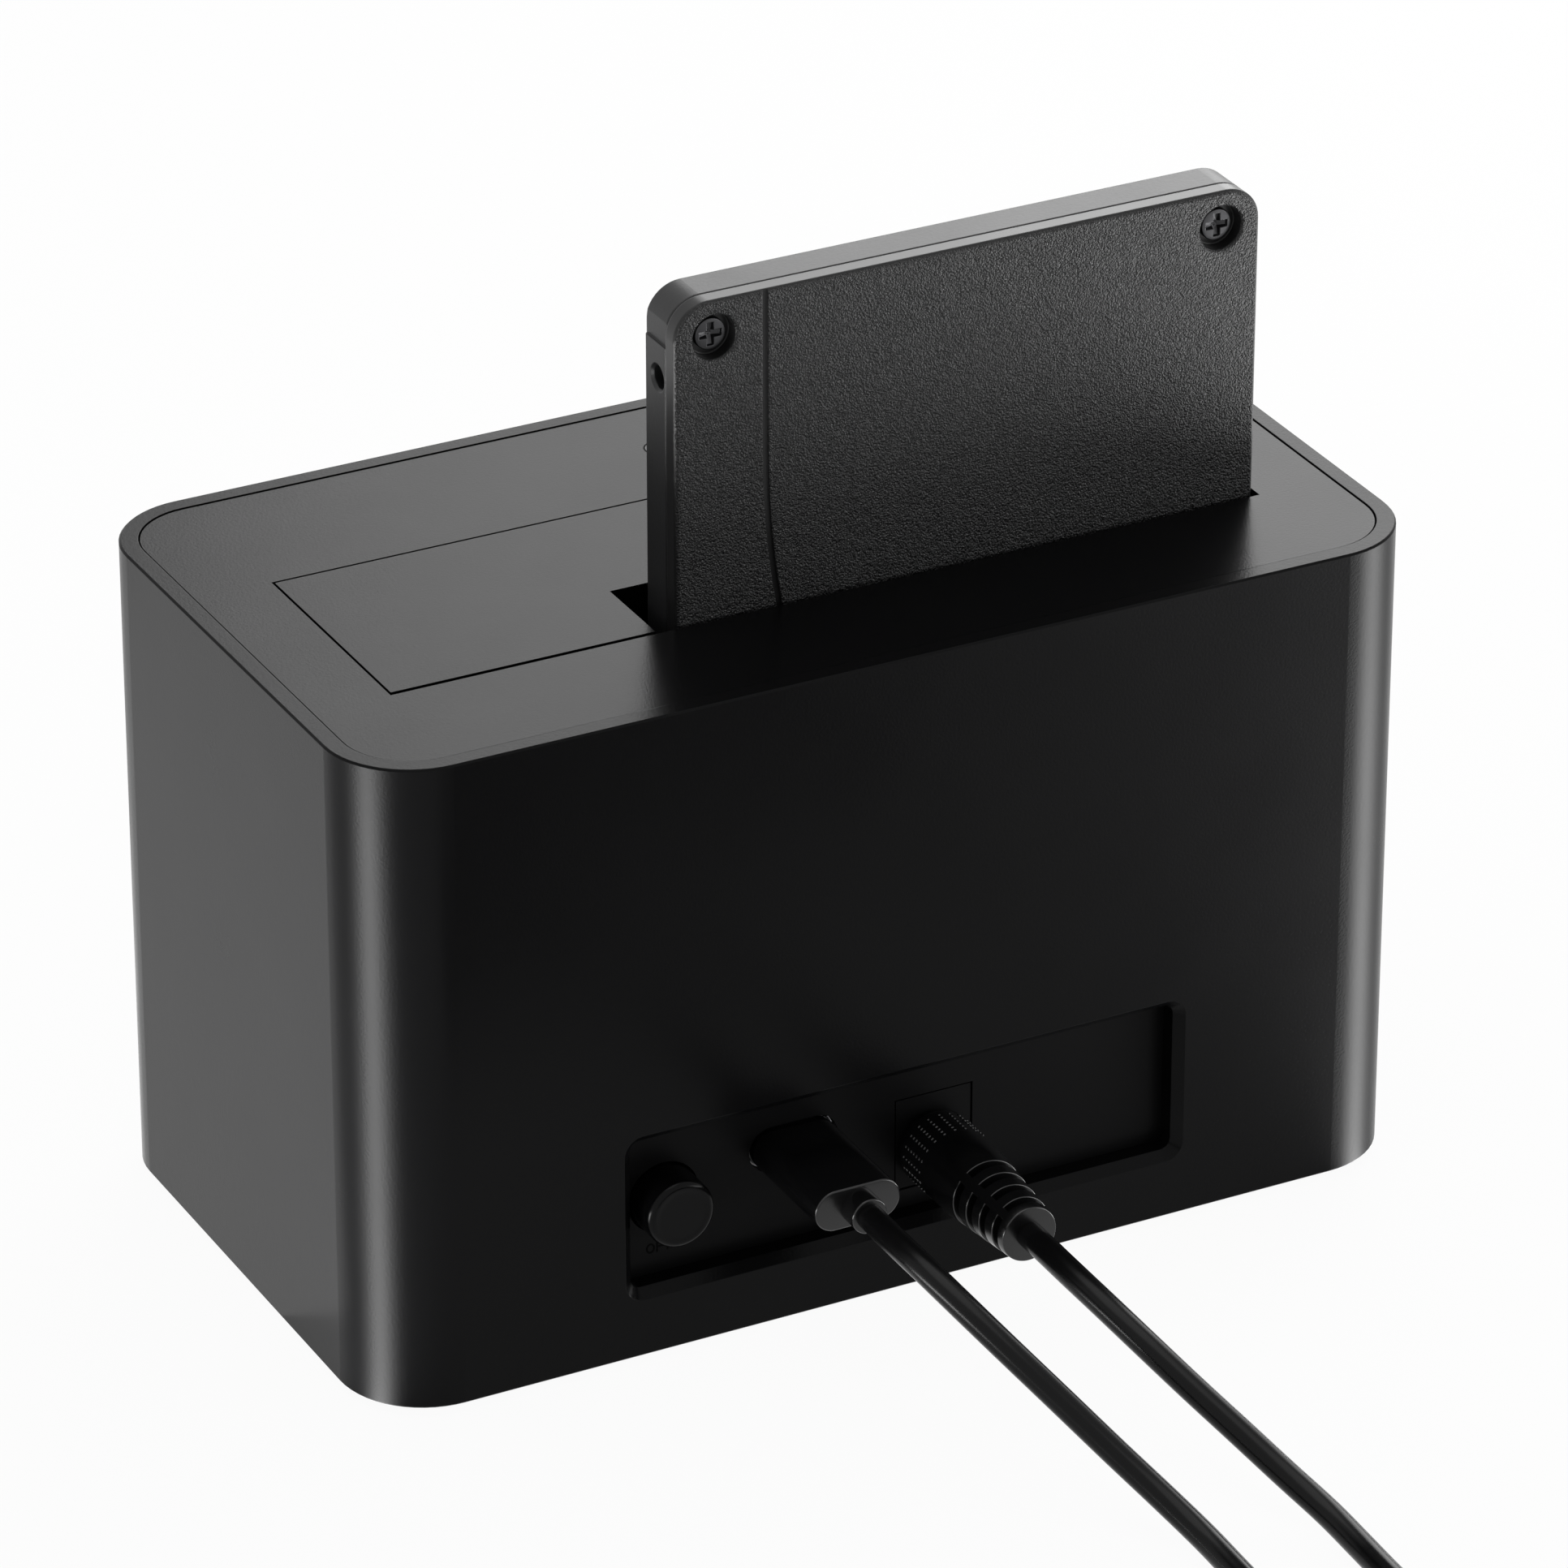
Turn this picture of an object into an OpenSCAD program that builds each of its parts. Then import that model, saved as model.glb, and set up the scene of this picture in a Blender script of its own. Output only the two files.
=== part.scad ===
// Hard drive docking station with a docked 2.5 inch drive, a USB lead and a wall adapter.
// Frame: millimetres, +Z up, ports on +Y, origin on the floor under the middle of the sleeve.

/* [Housing] */
// Width of the outer sleeve
body_w = 126; // [124:1:134]
// Depth of the outer sleeve
body_d = 70; // [69:0.5:76]
// Height of the outer sleeve
body_h = 76; // [74:1:84]
// Radius of the upright corners of the sleeve
corner_r = 10; // [8:0.5:11]
// Wall thickness of the sleeve
wall = 2.1; // [1.8:0.1:2.4]
// Bevel on the rims of the sleeve
rim_bevel = 0.2; // [0.1:0.05:0.5]
// Height by which the feet raise the sleeve
foot_proud = 1; // [0.6:0.1:1.4]
// Gap between the sleeve and the panels set into it
panel_gap = 0.2; // [0.15:0.05:0.4]

/* [Drive bay] */
// Width of the bay opening
bay_w = 103.8; // [103:0.2:105]
// Distance from the middle of the sleeve to the front edge of the bay
bay_front = 12.1; // [11.8:0.1:12.6]
// Distance from the middle of the sleeve to the rear edge of the bay
bay_rear = 17.6; // [17.4:0.1:17.8]
// Thickness of the flap and of the top panel
lid_t = 3; // [2.8:0.1:3.4]
// Clearance between the drive and the end of its notch in the flap
notch_side = 2.5; // [1.5:0.25:4]
// Front edge of the notch
notch_y = 6.3; // [5:0.1:8]
// Diameter of the hinge pin of the flap
pin_d = 1.6; // [1.4:0.1:1.7]

/* [Port window] */
// Width of the window in the rear wall
win_w = 68; // [67:0.5:72]
// Height of the window
win_h = 20; // [19.5:0.5:22]
// Corner radius of the window at the outer face
win_r = 2.2; // [1.8:0.1:3]
// Depth of the chamfer round the window
win_chamfer = 1.05; // [0.8:0.05:1.2]

/* [Drive] */
// Width of the drive
drive_w = 69.85; // [69.6:0.05:70.1]
// Length of the drive
drive_l = 100.2; // [99.8:0.1:100.5]
// Thickness of the drive
drive_t = 7; // [7:0.1:7.2]
// Corner radius of the drive
drive_r = 4; // [3:0.25:5]
// Bevel round both faces of the drive
drive_bevel = 0.35; // [0.2:0.05:0.5]

/* [Ports and leads] */
// Diameter of the power button
button_d = 7.9; // [7:0.1:8.4]
// Travel of the power button
button_travel = 1.5; // [1:0.1:1.8]
// Diameter of both cords
cord_d = 3; // [2.8:0.1:3.2]

/* [Hidden] */

$fn = 48;
eps = 0.01;
fit = 0.05;

// Housing levels and faces
in_w = body_w - 2 * wall;
in_d = body_d - 2 * wall;
in_r = corner_r - wall;
top_z = foot_proud + body_h;
rear_y = body_d / 2;
ledge_w = 1.2;
ledge_h = 2;
lid_drop = 0.1;
lid_top = top_z - lid_drop;
lid_z = lid_top - lid_t;
base_rise = 0.5;
base_z = foot_proud + base_rise;
base_t = 3;
base_top = base_z + base_t;
post_r = 3.4;
post_h = 10;
post_web = 2;
post_bore = 2.6;
post_x = in_w / 2 - in_r;
post_y = in_d / 2 - in_r;

// Base plate: screw counterbores, feet, vents and ribs
base_head = [5, 1.4];
base_shank = [2.5, 9];
base_seat = 1.6;
foot_d = 10;
foot_taper = 0.8;
foot_seat = 0.5;
foot_in = [12, 1];
vent = [40, 2];
vent_pitch = 6;
vent_rows = 3;
base_rib = [1.6, 56, 2];
base_rib_x = 30;

// Port window and the panel behind it
frame_t = 0.9;
frame_border = 2.5;
panel_border = 1.5;
panel_y = rear_y - wall - frame_t;
panel_t = 2;
panel_in = panel_y - panel_t;
win_up = 16.9;
win_z = foot_proud + win_up;

// Flap hinge, on an axis below the top face so that the spring hides under a skin
hinge_r = 1.9;
flap_gap = 0.3;
flap_free_gap = 0.6;
hinge_y = -bay_front + flap_gap + hinge_r;
hinge_z = lid_top - hinge_r;
pin_seat = 2.5;
flap_rib = [1.2, 0.6];
flap_rib_in = 4;

// Drive well, with screw ears on its front and rear and ribs between them
well_t = 1.6;
well_z = 30;
ear = [10, 5, 2];
ear_in = 17;
ear_x = bay_w / 2 - ear_in;
ear_front = -bay_front - well_t - ear.y / 2;
ear_rear = bay_rear + well_t + ear.y / 2;
gusset = [1.2, 6];
well_rib = 1.2;
well_rib_x = 18;
well_head = [3.6, 1.2];
well_shank = [1.7, 1.9];
ear_bore = 2.2;

// Boards
standoff_h = 3.4;
standoff_d = 6;
pillar_d = 4.4;
screw_bore = 2.1;
board_hole = 2.6;
board_head = [4.2, 1.4];
board_shank = [2, 5];
board_z = base_top + standoff_h;
board_t = 1.6;
board_top = board_z + board_t;

// Drive
drive_side_gap = 0.54;
drive_rear_gap = 0.64;
drive_lift = 3.7;
drive_x0 = -bay_w / 2 + drive_side_gap;
drive_x1 = drive_x0 + drive_w;
drive_y1 = bay_rear - drive_rear_gap;
drive_y0 = drive_y1 - drive_t;
drive_z0 = board_top + drive_lift;
drive_z1 = drive_z0 + drive_l;
drive_cx = drive_x0 + drive_w / 2;
drive_cz = drive_z0 + drive_l / 2;
cover_t = 2.2;
seam_y = drive_y1 - cover_t;
drive_wall = 1.5;
drive_skin = 1;
boss_in = [4.7, 4.2];
boss_r = 3.4;
boss_bore = 1.7;
recess_d = 5;
recess_t = 1.7;
recess_edge = 0.4;
seam_bevel = 0.15;
drive_head = [3.6, 0.7];
drive_shank = [1.6, 3.6];
side_hole_d = 2.6;
side_hole_y = 3;
side_hole_edge = 0.3;
side_holes = [9.4, 86];
side_step = [0.25, 5.4];
notch_x = drive_x1 + notch_side;

// Fine line along the cover: straight down from the top, then an arc that leaves the near side
line_w = 0.7;
line_t = 0.3;
line_in = 10.6;
line_straight = 18.5;
line_arc_r = 104;

// Drive connector: two keyed blades in two keyed slots
sata_offset = 4.425;
sata_x = drive_cx - sata_offset;
sata_y = (drive_y0 + drive_y1) / 2;
sata_base = [44, 8];
sata_tower = [41.6, 4.2, 5];
sata_clear = 0.3;
sata_down = 0.4;
blade_t = 1.2;
blade_end = 18.4;
blade_split = [-6.9, -3.9];
blade_key = [1, 0.7];
blade_foot = 6;
blade_tip = 0.5;
mouth_side = 0.7;
contact = [0.6, 2, 0.4];
contact_pitch = 1.6;
contact_count = 22;
drive_plug = [42, 3.5];

// Board inside the drive
drive_board_in = 7;
drive_board_t = 1;
drive_board_l = 50.5;
drive_board_z = drive_z0 + blade_foot + drive_plug.y;
flash = [13, 1.1, 16];
flash_pitch = [17, 22];
flash_up = 12.5;

// Outline of the main board, with a wing at the rear for the pin header
board_side = 0.6;
board_front = 6.9;
board_rear = 1;
board_x = post_x - post_r - board_side;
board_y0 = -in_d / 2 + board_front;
board_y1 = sata_y + sata_base.y / 2 + board_rear;
header = [12.8, 2.6, 2.5];
header_at = [-24, 24];
header_pin = 0.64;
header_pitch = 2.54;
header_pins = 5;
wing_x = header_at.x + header.x / 2 + 1.1;
wing_y = header_at.y + 4;
hole_in = [4, 5];
standoffs = [
    [board_x - hole_in.x, board_y0 + hole_in.y], [-board_x + hole_in.x, board_y0 + hole_in.y],
    [board_x - hole_in.x, board_y1 - hole_in.y], [-board_x + hole_in.x, wing_y - hole_in.y]
];
pillars = [[-12.5, 24.5], [20.5, 24.5]];

// Chips and coils on the main board, in two rows set out from its side and its front edge
front_row = 7;
mid_row = 24;
leg_pitch = 1.4;
leg = [0.5, 1, 0.4];
leg_out = 0.4;
bridge = [10, 10, 1.4];
bridge_in = 29;
bridge_at = [board_x - bridge_in, board_y0 + mid_row];
regulator = [5, 4, 1.5];
regulator_in = [47, 59];
regulators_at = [for (x = regulator_in) [board_x - x, board_y0 + front_row]];
choke = [8, 8, 5];
choke_in = 33;
choke_at = [board_x - choke_in, board_y0 + front_row];
choke_corner = 1.5;
cap_d = 6.3;
cap_h = 7.7;
cap_in = [12, 22];
caps_at = [for (x = cap_in) [board_x - x, board_y0 + front_row]];
crystal_size = [8, 3.6, 1.6];
crystal_in = 16;
crystal_at = [board_x - crystal_in, board_y0 + mid_row];

// Ports, as x and z on the rear
button_at = [win_w / 2 - 6, win_z + 0.1];
usb_at = [12.4, win_z + 2.5];
dc_at = [-4.4, win_z - 1.9];
jack_x = -4.6;
jack_w = 9.1;
jack_z = win_z - 6.6;
jack_gap = 0.2;
jack_bore = 6;
jack_deep = 10.4;
jack_pin_d = 2;
jack_pin_in = 1.1;
face_in = 0.1;

// USB port: shell, tongue and the plug's own shell
usb_shell = [9.4, 3.6];
usb_mouth = [8.7, 2.8];
usb_shell_l = 7;
usb_shell_out = 0.6;
usb_floor = 1.2;
usb_tongue_size = [6.6, 0.75];
usb_tongue_in = 0.4;
usb_hole_gap = 0.3;
plug_shell = [8.25, 2.4];
plug_shell_t = 0.3;
plug_shell_l = 5.4;
port_z = usb_at.y + usb_shell.y / 2;
port_board_in = [0.7, 0.3];
port_board_x = [-32, 33.5];
jack_in = 0.9;

// Plugs along y
usb_size = [10.1, 4.8];
usb_grip_in = 0.9;
usb_grip_l = 14.8;
usb_collar_d = 4.1;
usb_collar_l = 2.7;
usb_end = panel_y + usb_grip_l;
usb_collar_end = usb_end + usb_collar_l;
dc_gap = 0.3;
dc_grip_l = 21.6;
dc_start = panel_y + dc_gap;
dc_end = dc_start + dc_grip_l;
dc_r = 4.35;
dc_shoulder_r = 4.2;
dc_tip_r = 3.2;
dc_edge = [0.3, 0.4];
dc_taper = [12, 10.9];
dc_barrel_d = 5.5;
dc_barrel_bore = 2.6;
dc_barrel_l = 9.6;
slot_rows = 4;
slot_pitch = 2.45;
slot_w = 1.2;
slot_floor = 2.5;
slot_back = 9.6;
slot_angle = 165.6;
spine_turn = 45;

// Cord routes, from each plug to its coil
usb_lane = -2.2;
dc_lane = -15.8;
usb_turn_y = 127;
dc_turn_y = 159;
usb_route = [
    [usb_at.x, usb_collar_end, usb_at.y], [usb_at.x, 54, 20.3], [11.8, 60, 19.6], [10.3, 66, 17.7],
    [7.9, 72, 14.7], [4.9, 78, 11], [2, 84, 7.4], [-0.5, 90, 4.4], [-2, 96, 2.5], [-2.3, 102, 1.8],
    [usb_lane, 108, 1.7], [usb_lane, 118, 1.9], [usb_lane, 124, 2.2], [usb_lane, usb_turn_y, 2.2]
];
dc_route = [
    [dc_at.x, dc_end, dc_at.y], [dc_at.x, 57, dc_at.y], [-4.6, 62, 15.7], [-5.5, 68, 14.6],
    [-7.1, 74, 12.6], [-9.3, 80, 9.9], [-11.7, 86, 7.1], [-13.9, 92, 4.5], [-15.5, 98, 2.7],
    [-15.9, 104, 1.9], [dc_lane, 110, 1.7], [dc_lane, 120, 1.7], [dc_lane, 132, 1.7], [dc_lane, 145, 1.9],
    [dc_lane, 156, 2.2], [dc_lane, dc_turn_y, 2.2]
];

// Coils: two layers, spiralling in and out again
turn_gap = 0.6;
pitch = cord_d + turn_gap;
coil_in = 11;
coil_z = 2.2;
usb_turns = 3.75;
dc_turns = 4.25;
usb_coil_r = coil_in + usb_turns * pitch;
dc_coil_r = coil_in + dc_turns * pitch;
lead_in = 6;
usb_coil_at = [usb_lane + usb_coil_r, usb_turn_y + lead_in];
dc_coil_at = [dc_lane - dc_coil_r, dc_turn_y + lead_in];
coil_steps = 24;

// Radius along a two-layer coil of n turns a layer, at u turns
function coil_radius(u, n) =
    u < n ? coil_in + pitch * (n - u)
    : u < n + 0.5 ? coil_in - pitch * (u - n) * (1 - 2 * (u - n))
    : coil_in + pitch * (u - n - 0.5);

// Height along the coil: it climbs a layer in the half turn where the spiral reverses
function coil_height(u, n) = coil_z + pitch * min(1, max(0, 2 * (u - n)));

function coil_points(at, n, first, turn) = [
    for (i = [0 : coil_steps * (2 * n + 0.5)])
        let (u = i / coil_steps, a = first + turn * 360 * u, r = coil_radius(u, n))
            [at.x + r * cos(a), at.y + r * sin(a), coil_height(u, n)]
];

lead = cord_d;
far_z = 4.5;
usb_far_y = 151 + lead;
grommet_y = 185 + lead;
grommet_z = coil_z + pitch;
usb_path = concat(
    [[usb_lane, usb_turn_y, coil_z], [usb_lane, usb_turn_y + lead, coil_z]],
    coil_points(usb_coil_at, usb_turns, 180, -1),
    [[usb_lane, 138, 5.7], [usb_lane, 143, 5.2], [usb_lane, 148, 4.7], [usb_lane, usb_far_y - lead, far_z],
        [usb_lane, usb_far_y, far_z]]
);
dc_path = concat(
    [[dc_lane, dc_turn_y, coil_z], [dc_lane, dc_turn_y + lead, coil_z]],
    coil_points(dc_coil_at, dc_turns, 0, 1),
    [[dc_lane, 172, 5.8], [dc_lane, 179, 5.8], [dc_lane, grommet_y - lead, grommet_z],
        [dc_lane, grommet_y, grommet_z]]
);

// Ties round the coils
tie_w = 5;
tie_t = 0.6;
tie_room = 0.3;
tie_under = 0.4;

// Plug at the far end of the USB lead
far_grip = [15.6, 9, 17];
far_grip_r = 2;
far_neck = [4.4, 6.4, 5];
far_thumb = [9, 5, 0.4];
far_shell = [12, 4.5, 12];
far_shell_t = 0.3;
far_window = [2.2, 2.4, 5.5];
far_tongue = [11.2, 1.9, 11.4];
far_grip_y = usb_far_y + far_neck.z;
far_shell_y = far_grip_y + far_grip.z;

// Wall adapter, lying on its side
adapter = [58, 44, 30];
adapter_split = 18;
adapter_r = 4;
adapter_t = 2;
adapter_bevel = 1.2;
adapter_seam = 0.35;
adapter_x = -28.5;
grommet_l = 8;
grommet_d = [4.6, 6.4];
grommet_rings = 4;
adapter_y = grommet_y + grommet_l;
adapter_cy = adapter_y + adapter.y / 2;
groove = [1.2, 0.5];
groove_pitch = 4;
groove_count = 5;
groove_z = [12, 26];
blade = [16, 1.6, 6.3];
blade_spread = 12.7;
blade_z = 5;
blade_hole = 3;
blade_hole_in = 4;
blade_nose = 1.2;

// Least gap of a tube of diameter d to itself, over points more than half a turn apart
function least_gap(pts, d, steps) = min([
    for (i = [0 : len(pts) - 1])
        for (j = [i + floor(steps / 2) : 1 : len(pts) - 1])
            norm(pts[i] - pts[j])
]) - d;

function unit(v) = v / norm(v);

// Direction of a path at point i
function heading(p, i) = unit(p[min(i + 1, len(p) - 1)] - p[max(i - 1, 0)]);

// Rings of a tube of diameter d along path p, whose frame leans on the direction ref
function rings(p, d, sides, ref) = [
    for (i = [0 : len(p) - 1])
        let (t = heading(p, i), n = unit(cross(t, ref)), b = cross(n, t))
            for (k = [0 : sides - 1])
                p[i] + d / 2 * (cos(360 * k / sides) * n + sin(360 * k / sides) * b)
];

module tube(p, d, sides, ref) {
    last = (len(p) - 1) * sides;
    polyhedron(
        points = rings(p, d, sides, ref),
        faces = concat(
            [[for (k = [sides - 1 : -1 : 0]) k]],
            [[for (k = [0 : sides - 1]) last + k]],
            [for (i = [0 : len(p) - 2]) for (k = [0 : sides - 1])
                [i * sides + k, i * sides + (k + 1) % sides, (i + 1) * sides + k]],
            [for (i = [0 : len(p) - 2]) for (k = [0 : sides - 1])
                [i * sides + (k + 1) % sides, (i + 1) * sides + (k + 1) % sides, (i + 1) * sides + k]]
        ),
        convexity = 10
    );
}

// Flap spring: a leg on the front wall of the well, turns round the pin, a leg under the flap
flap_wire = 0.5;
flap_coil_r = 1.15;
flap_spring_pitch = 1;
flap_spring_turns = 5.5;
flap_spring_room = 0.12;
flap_leg_z = lid_z - flap_wire / 2 - 0.1;
flap_leg_y = -bay_front + flap_wire / 2 + 0.1;
flap_leg_x = flap_spring_pitch * flap_spring_turns / 2;
flap_leg_drop = 6;
flap_leg_out = 8;
spring_cut = 9;
spring_steps = 16;
flap_spring_path = concat(
    [[-flap_leg_x, flap_leg_y, hinge_z - flap_leg_drop], [-flap_leg_x, flap_leg_y, hinge_z - 0.7 * flap_leg_drop],
        [-flap_leg_x, hinge_y - flap_coil_r, hinge_z - 0.3 * flap_leg_drop]],
    [for (i = [0 : spring_steps * flap_spring_turns])
        let (u = i / spring_steps, a = 180 - 360 * u)
            [-flap_leg_x + flap_spring_pitch * u, hinge_y + flap_coil_r * cos(a), hinge_z + flap_coil_r * sin(a)]],
    [[flap_leg_x, hinge_y + flap_coil_r, hinge_z - 0.7], [flap_leg_x, hinge_y + flap_coil_r + 0.2, flap_leg_z + 0.3],
        [flap_leg_x, hinge_y + flap_coil_r + 0.7, flap_leg_z],
        [flap_leg_x, hinge_y + 0.6 * flap_leg_out, flap_leg_z], [flap_leg_x, hinge_y + flap_leg_out, flap_leg_z]]
);

// Button: face and flange along y
button_proud = 4.6;
button_edge = 0.6;
button_hole_gap = 0.25;
flange = [0.8, 1.2];
stem_d = 3.1;
stem_gap = 0.15;
stem_l = 7.1;
button_face = panel_y + button_proud;
flange_y = panel_in - button_travel;
switch_gap = 4.5;
switch_y = flange_y - switch_gap;
switch_size = 8;
switch_deep = 4.6;
spring_wire = 0.5;
spring_room = 0.35;
button_spring_turns = 3;
button_spring_r = 2.4;
button_spring_path = [
    for (i = [0 : spring_steps * button_spring_turns])
        let (u = i / spring_steps / button_spring_turns, a = 360 * u * button_spring_turns)
            [button_at.x + button_spring_r * cos(a),
                switch_y + spring_room + (switch_gap - 2 * spring_room) * u,
                button_at.y + button_spring_r * sin(a)]
];

// Status light under the front of the top panel
light_in = 10;
light_at = [0.4, -in_d / 2 + light_in];
light_hole = 3.4;
pipe_d = 3.2;
pipe_flange = [5, 1];
pipe_down = 2.3;
lamp_d = 3;
lamp_rim = [3.8, 0.8];
lamp_gap = 0.3;
light_board_size = [22, 8, 1.2];
light_post = [3.6, 1.8];
light_post_x = 8;
light_post_l = 6;
light_peg_l = 1.6;

echo(usb_coil_gap = least_gap(usb_path, cord_d, coil_steps));
echo(dc_coil_gap = least_gap(dc_path, cord_d, coil_steps));
echo(flap_spring_gap = least_gap(flap_spring_path, flap_wire, spring_steps));
echo(button_spring_gap = least_gap(button_spring_path, spring_wire, spring_steps));

satin_black = [0.09, 0.09, 0.095];
panel_black = [0.11, 0.11, 0.115];
rubber_black = [0.05, 0.05, 0.05];
steel = [0.72, 0.72, 0.74];
dark_steel = [0.3, 0.3, 0.31];
board_green = [0.08, 0.3, 0.16];
chip_black = [0.04, 0.04, 0.045];
clear_white = [0.9, 0.92, 0.95];
gold = [0.83, 0.66, 0.3];

// Rectangle with round corners, centred
module round_rect(w, h, r) {
    square([w - 2 * r, h], center = true);
    square([w, h - 2 * r], center = true);
    for (sx = [-1, 1], sy = [-1, 1])
        translate([sx * (w / 2 - r), sy * (h / 2 - r)]) circle(r);
}

// Flat-sided oval, centred
module stadium(w, h) {
    square([w - h, h], center = true);
    for (s = [-1, 1]) translate([s * (w - h) / 2, 0]) circle(h / 2);
}

// Outline in x and z, drawn out along y
module along_y(y0, y1) {
    translate([0, y1, 0]) rotate([90, 0, 0]) linear_extrude(y1 - y0) children();
}

module rod_x(y, z, d, x0, x1) {
    translate([x0, y, z]) rotate([0, 90, 0]) cylinder(h = x1 - x0, d = d);
}

module rod_y(x, z, d, y0, y1) {
    translate([x, y0, z]) rotate([-90, 0, 0]) cylinder(h = y1 - y0, d = d);
}

module rod_z(x, y, d, z0, z1) {
    translate([x, y, z0]) cylinder(h = z1 - z0, d = d);
}

// Block between two corners
module block(a, b) {
    translate(a) cube(b - a);
}

// Block of a given size, centred in x and y, standing at z
module stand(at, z, size) {
    translate([at.x - size.x / 2, at.y - size.y / 2, z]) cube(size);
}

module at_corners(x, y) {
    for (sx = [-1, 1], sy = [-1, 1]) translate([sx * x, sy * y, 0]) children();
}

// Profile carried round a rectangle with round corners: its x points outwards from a corner's centre
module sweep_rect(w, d, r) {
    for (q = [0 : 3]) rotate(90 * q) {
        run = q % 2 == 0 ? [w / 2 - r, d / 2 - r] : [d / 2 - r, w / 2 - r];
        translate([run.x, run.y, 0]) rotate_extrude(angle = 90) children();
        translate([run.x, run.y, 0]) rotate([90, 0, 0]) linear_extrude(2 * run.y) children();
    }
}

// What a bevel takes off the upper edge, at z = 0, of a block with round corners
module bevel_off(w, d, r, size) {
    e = size / 4;
    sweep_rect(w, d, r) polygon([[r - size - e, e], [r + e, e], [r + e, -size - e]]);
}

// Opening of the window, which flares outwards by a chamfer
module window_cut() {
    w = win_w - 2 * win_chamfer;
    h = win_h - 2 * win_chamfer;
    r = win_r - win_chamfer;
    along_y(panel_y - 1, rear_y + 1) translate([0, win_z]) round_rect(w, h, r);
    translate([0, rear_y, win_z]) rotate([-90, 0, 0]) sweep_rect(w, h, r)
        polygon([[r - eps, -win_chamfer - eps], [r + win_chamfer + wall, wall], [r - eps, wall]]);
}

module outer_sleeve() {
    color(satin_black) difference() {
        union() {
            translate([0, 0, foot_proud]) linear_extrude(body_h) difference() {
                round_rect(body_w, body_d, corner_r);
                round_rect(in_w, in_d, in_r);
            }
            ledge();
            for (sx = [-1, 1], sy = [-1, 1]) translate([sx * post_x, sy * post_y, base_top]) {
                cylinder(h = post_h, r = post_r);
                rotate(atan2(sy, sx)) translate([0, -post_web / 2, 0]) cube([in_r + wall / 2, post_web, post_h]);
            }
            along_y(panel_y, rear_y - wall / 2) translate([0, win_z])
                square([win_w + 2 * frame_border, win_h + 2 * frame_border], center = true);
        }
        window_cut();
        at_corners(post_x, post_y) rod_z(0, 0, post_bore, base_top - 1, base_top + post_h - 1);
        translate([0, 0, top_z]) bevel_off(body_w, body_d, corner_r, rim_bevel);
        translate([0, 0, foot_proud]) mirror([0, 0, 1]) bevel_off(body_w, body_d, corner_r, rim_bevel);
    }
}

// Ledge that carries the top panel, along the front and rear walls and round the corners
module ledge() {
    translate([0, 0, lid_z - ledge_h]) linear_extrude(ledge_h) difference() {
        round_rect(in_w + wall, in_d + wall, in_r + wall / 2);
        round_rect(in_w - 2 * ledge_w, in_d - 2 * ledge_w, in_r - ledge_w);
        translate([-in_w / 2, -bay_front - well_t - 1]) square([in_w, bay_front + bay_rear + 2 * well_t + 2]);
    }
}

module top_panel() {
    color(panel_black) difference() {
        union() {
            translate([0, 0, lid_z]) linear_extrude(lid_t) difference() {
                round_rect(in_w - 2 * panel_gap, in_d - 2 * panel_gap, in_r - panel_gap);
                translate([-bay_w / 2, -bay_front]) square([bay_w, bay_front + bay_rear]);
            }
            for (s = [-1, 1]) {
                x = light_at.x + s * light_post_x;
                rod_z(x, light_at.y, light_post[0], lid_z - light_post_l, lid_z + eps);
                rod_z(x, light_at.y, light_post[1], lid_z - light_post_l - light_peg_l, lid_z);
            }
        }
        rod_z(light_at.x, light_at.y, light_hole, lid_z - 1, lid_top + 1);
        rod_x(hinge_y, hinge_z, pin_d + 2 * fit, -bay_w / 2 - pin_seat - panel_gap, bay_w / 2 + pin_seat + panel_gap);
        for (s = [-1, 1], y = [ear_front, ear_rear])
            rod_z(s * ear_x, y, well_shank[0] + 2 * fit, lid_z - 1, lid_z + well_shank[1] + panel_gap);
    }
}

// Screw ear on the side of the well, with a gusset under it
module well_ear(y, out) {
    translate([0, y, 0]) {
        translate([-ear.x / 2, -ear.y / 2 - (out > 0 ? eps : 0), lid_z - ear.z]) cube([ear.x, ear.y + eps, ear.z]);
        for (s = [-1, 1]) translate([s * (ear.x - gusset[0]) / 2 - gusset[0] / 2, -out * ear.y / 2, lid_z - ear.z])
            rotate([90, 0, 90]) linear_extrude(gusset[0])
                polygon([[-out * eps, eps], [out * ear.y, eps], [-out * eps, -gusset[1]]]);
    }
}

module drive_well() {
    color(satin_black) difference() {
        union() {
            block([-bay_w / 2 - well_t, -bay_front - well_t, well_z],
                [bay_w / 2 + well_t, bay_rear + well_t, lid_z]);
            for (s = [-1, 1]) translate([s * ear_x, 0, 0]) {
                well_ear(ear_front, -1);
                well_ear(ear_rear, 1);
            }
            for (x = [-well_rib_x, 0, well_rib_x])
                block([x - well_rib / 2, -bay_front - well_t - well_rib, well_z],
                    [x + well_rib / 2, bay_rear + well_t + well_rib, lid_z - ear.z]);
        }
        block([-bay_w / 2, -bay_front, well_z - 1], [bay_w / 2, bay_rear, lid_z + 1]);
        for (s = [-1, 1], y = [ear_front, ear_rear]) rod_z(s * ear_x, y, ear_bore, lid_z - ear.z - 1, lid_z + 1);
    }
}

// Pan-head screw with its head below z = 0 and its shank going up
module screw_up(head, shank) {
    cross_w = 0.5;
    difference() {
        rod_z(0, 0, head[0], -head[1], 0);
        for (a = [0, 90]) rotate(a) translate([0, 0, -head[1]])
            cube([head[0] * 0.6, cross_w, head[1]], center = true);
    }
    rod_z(0, 0, shank[0], -eps, shank[1]);
}

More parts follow.
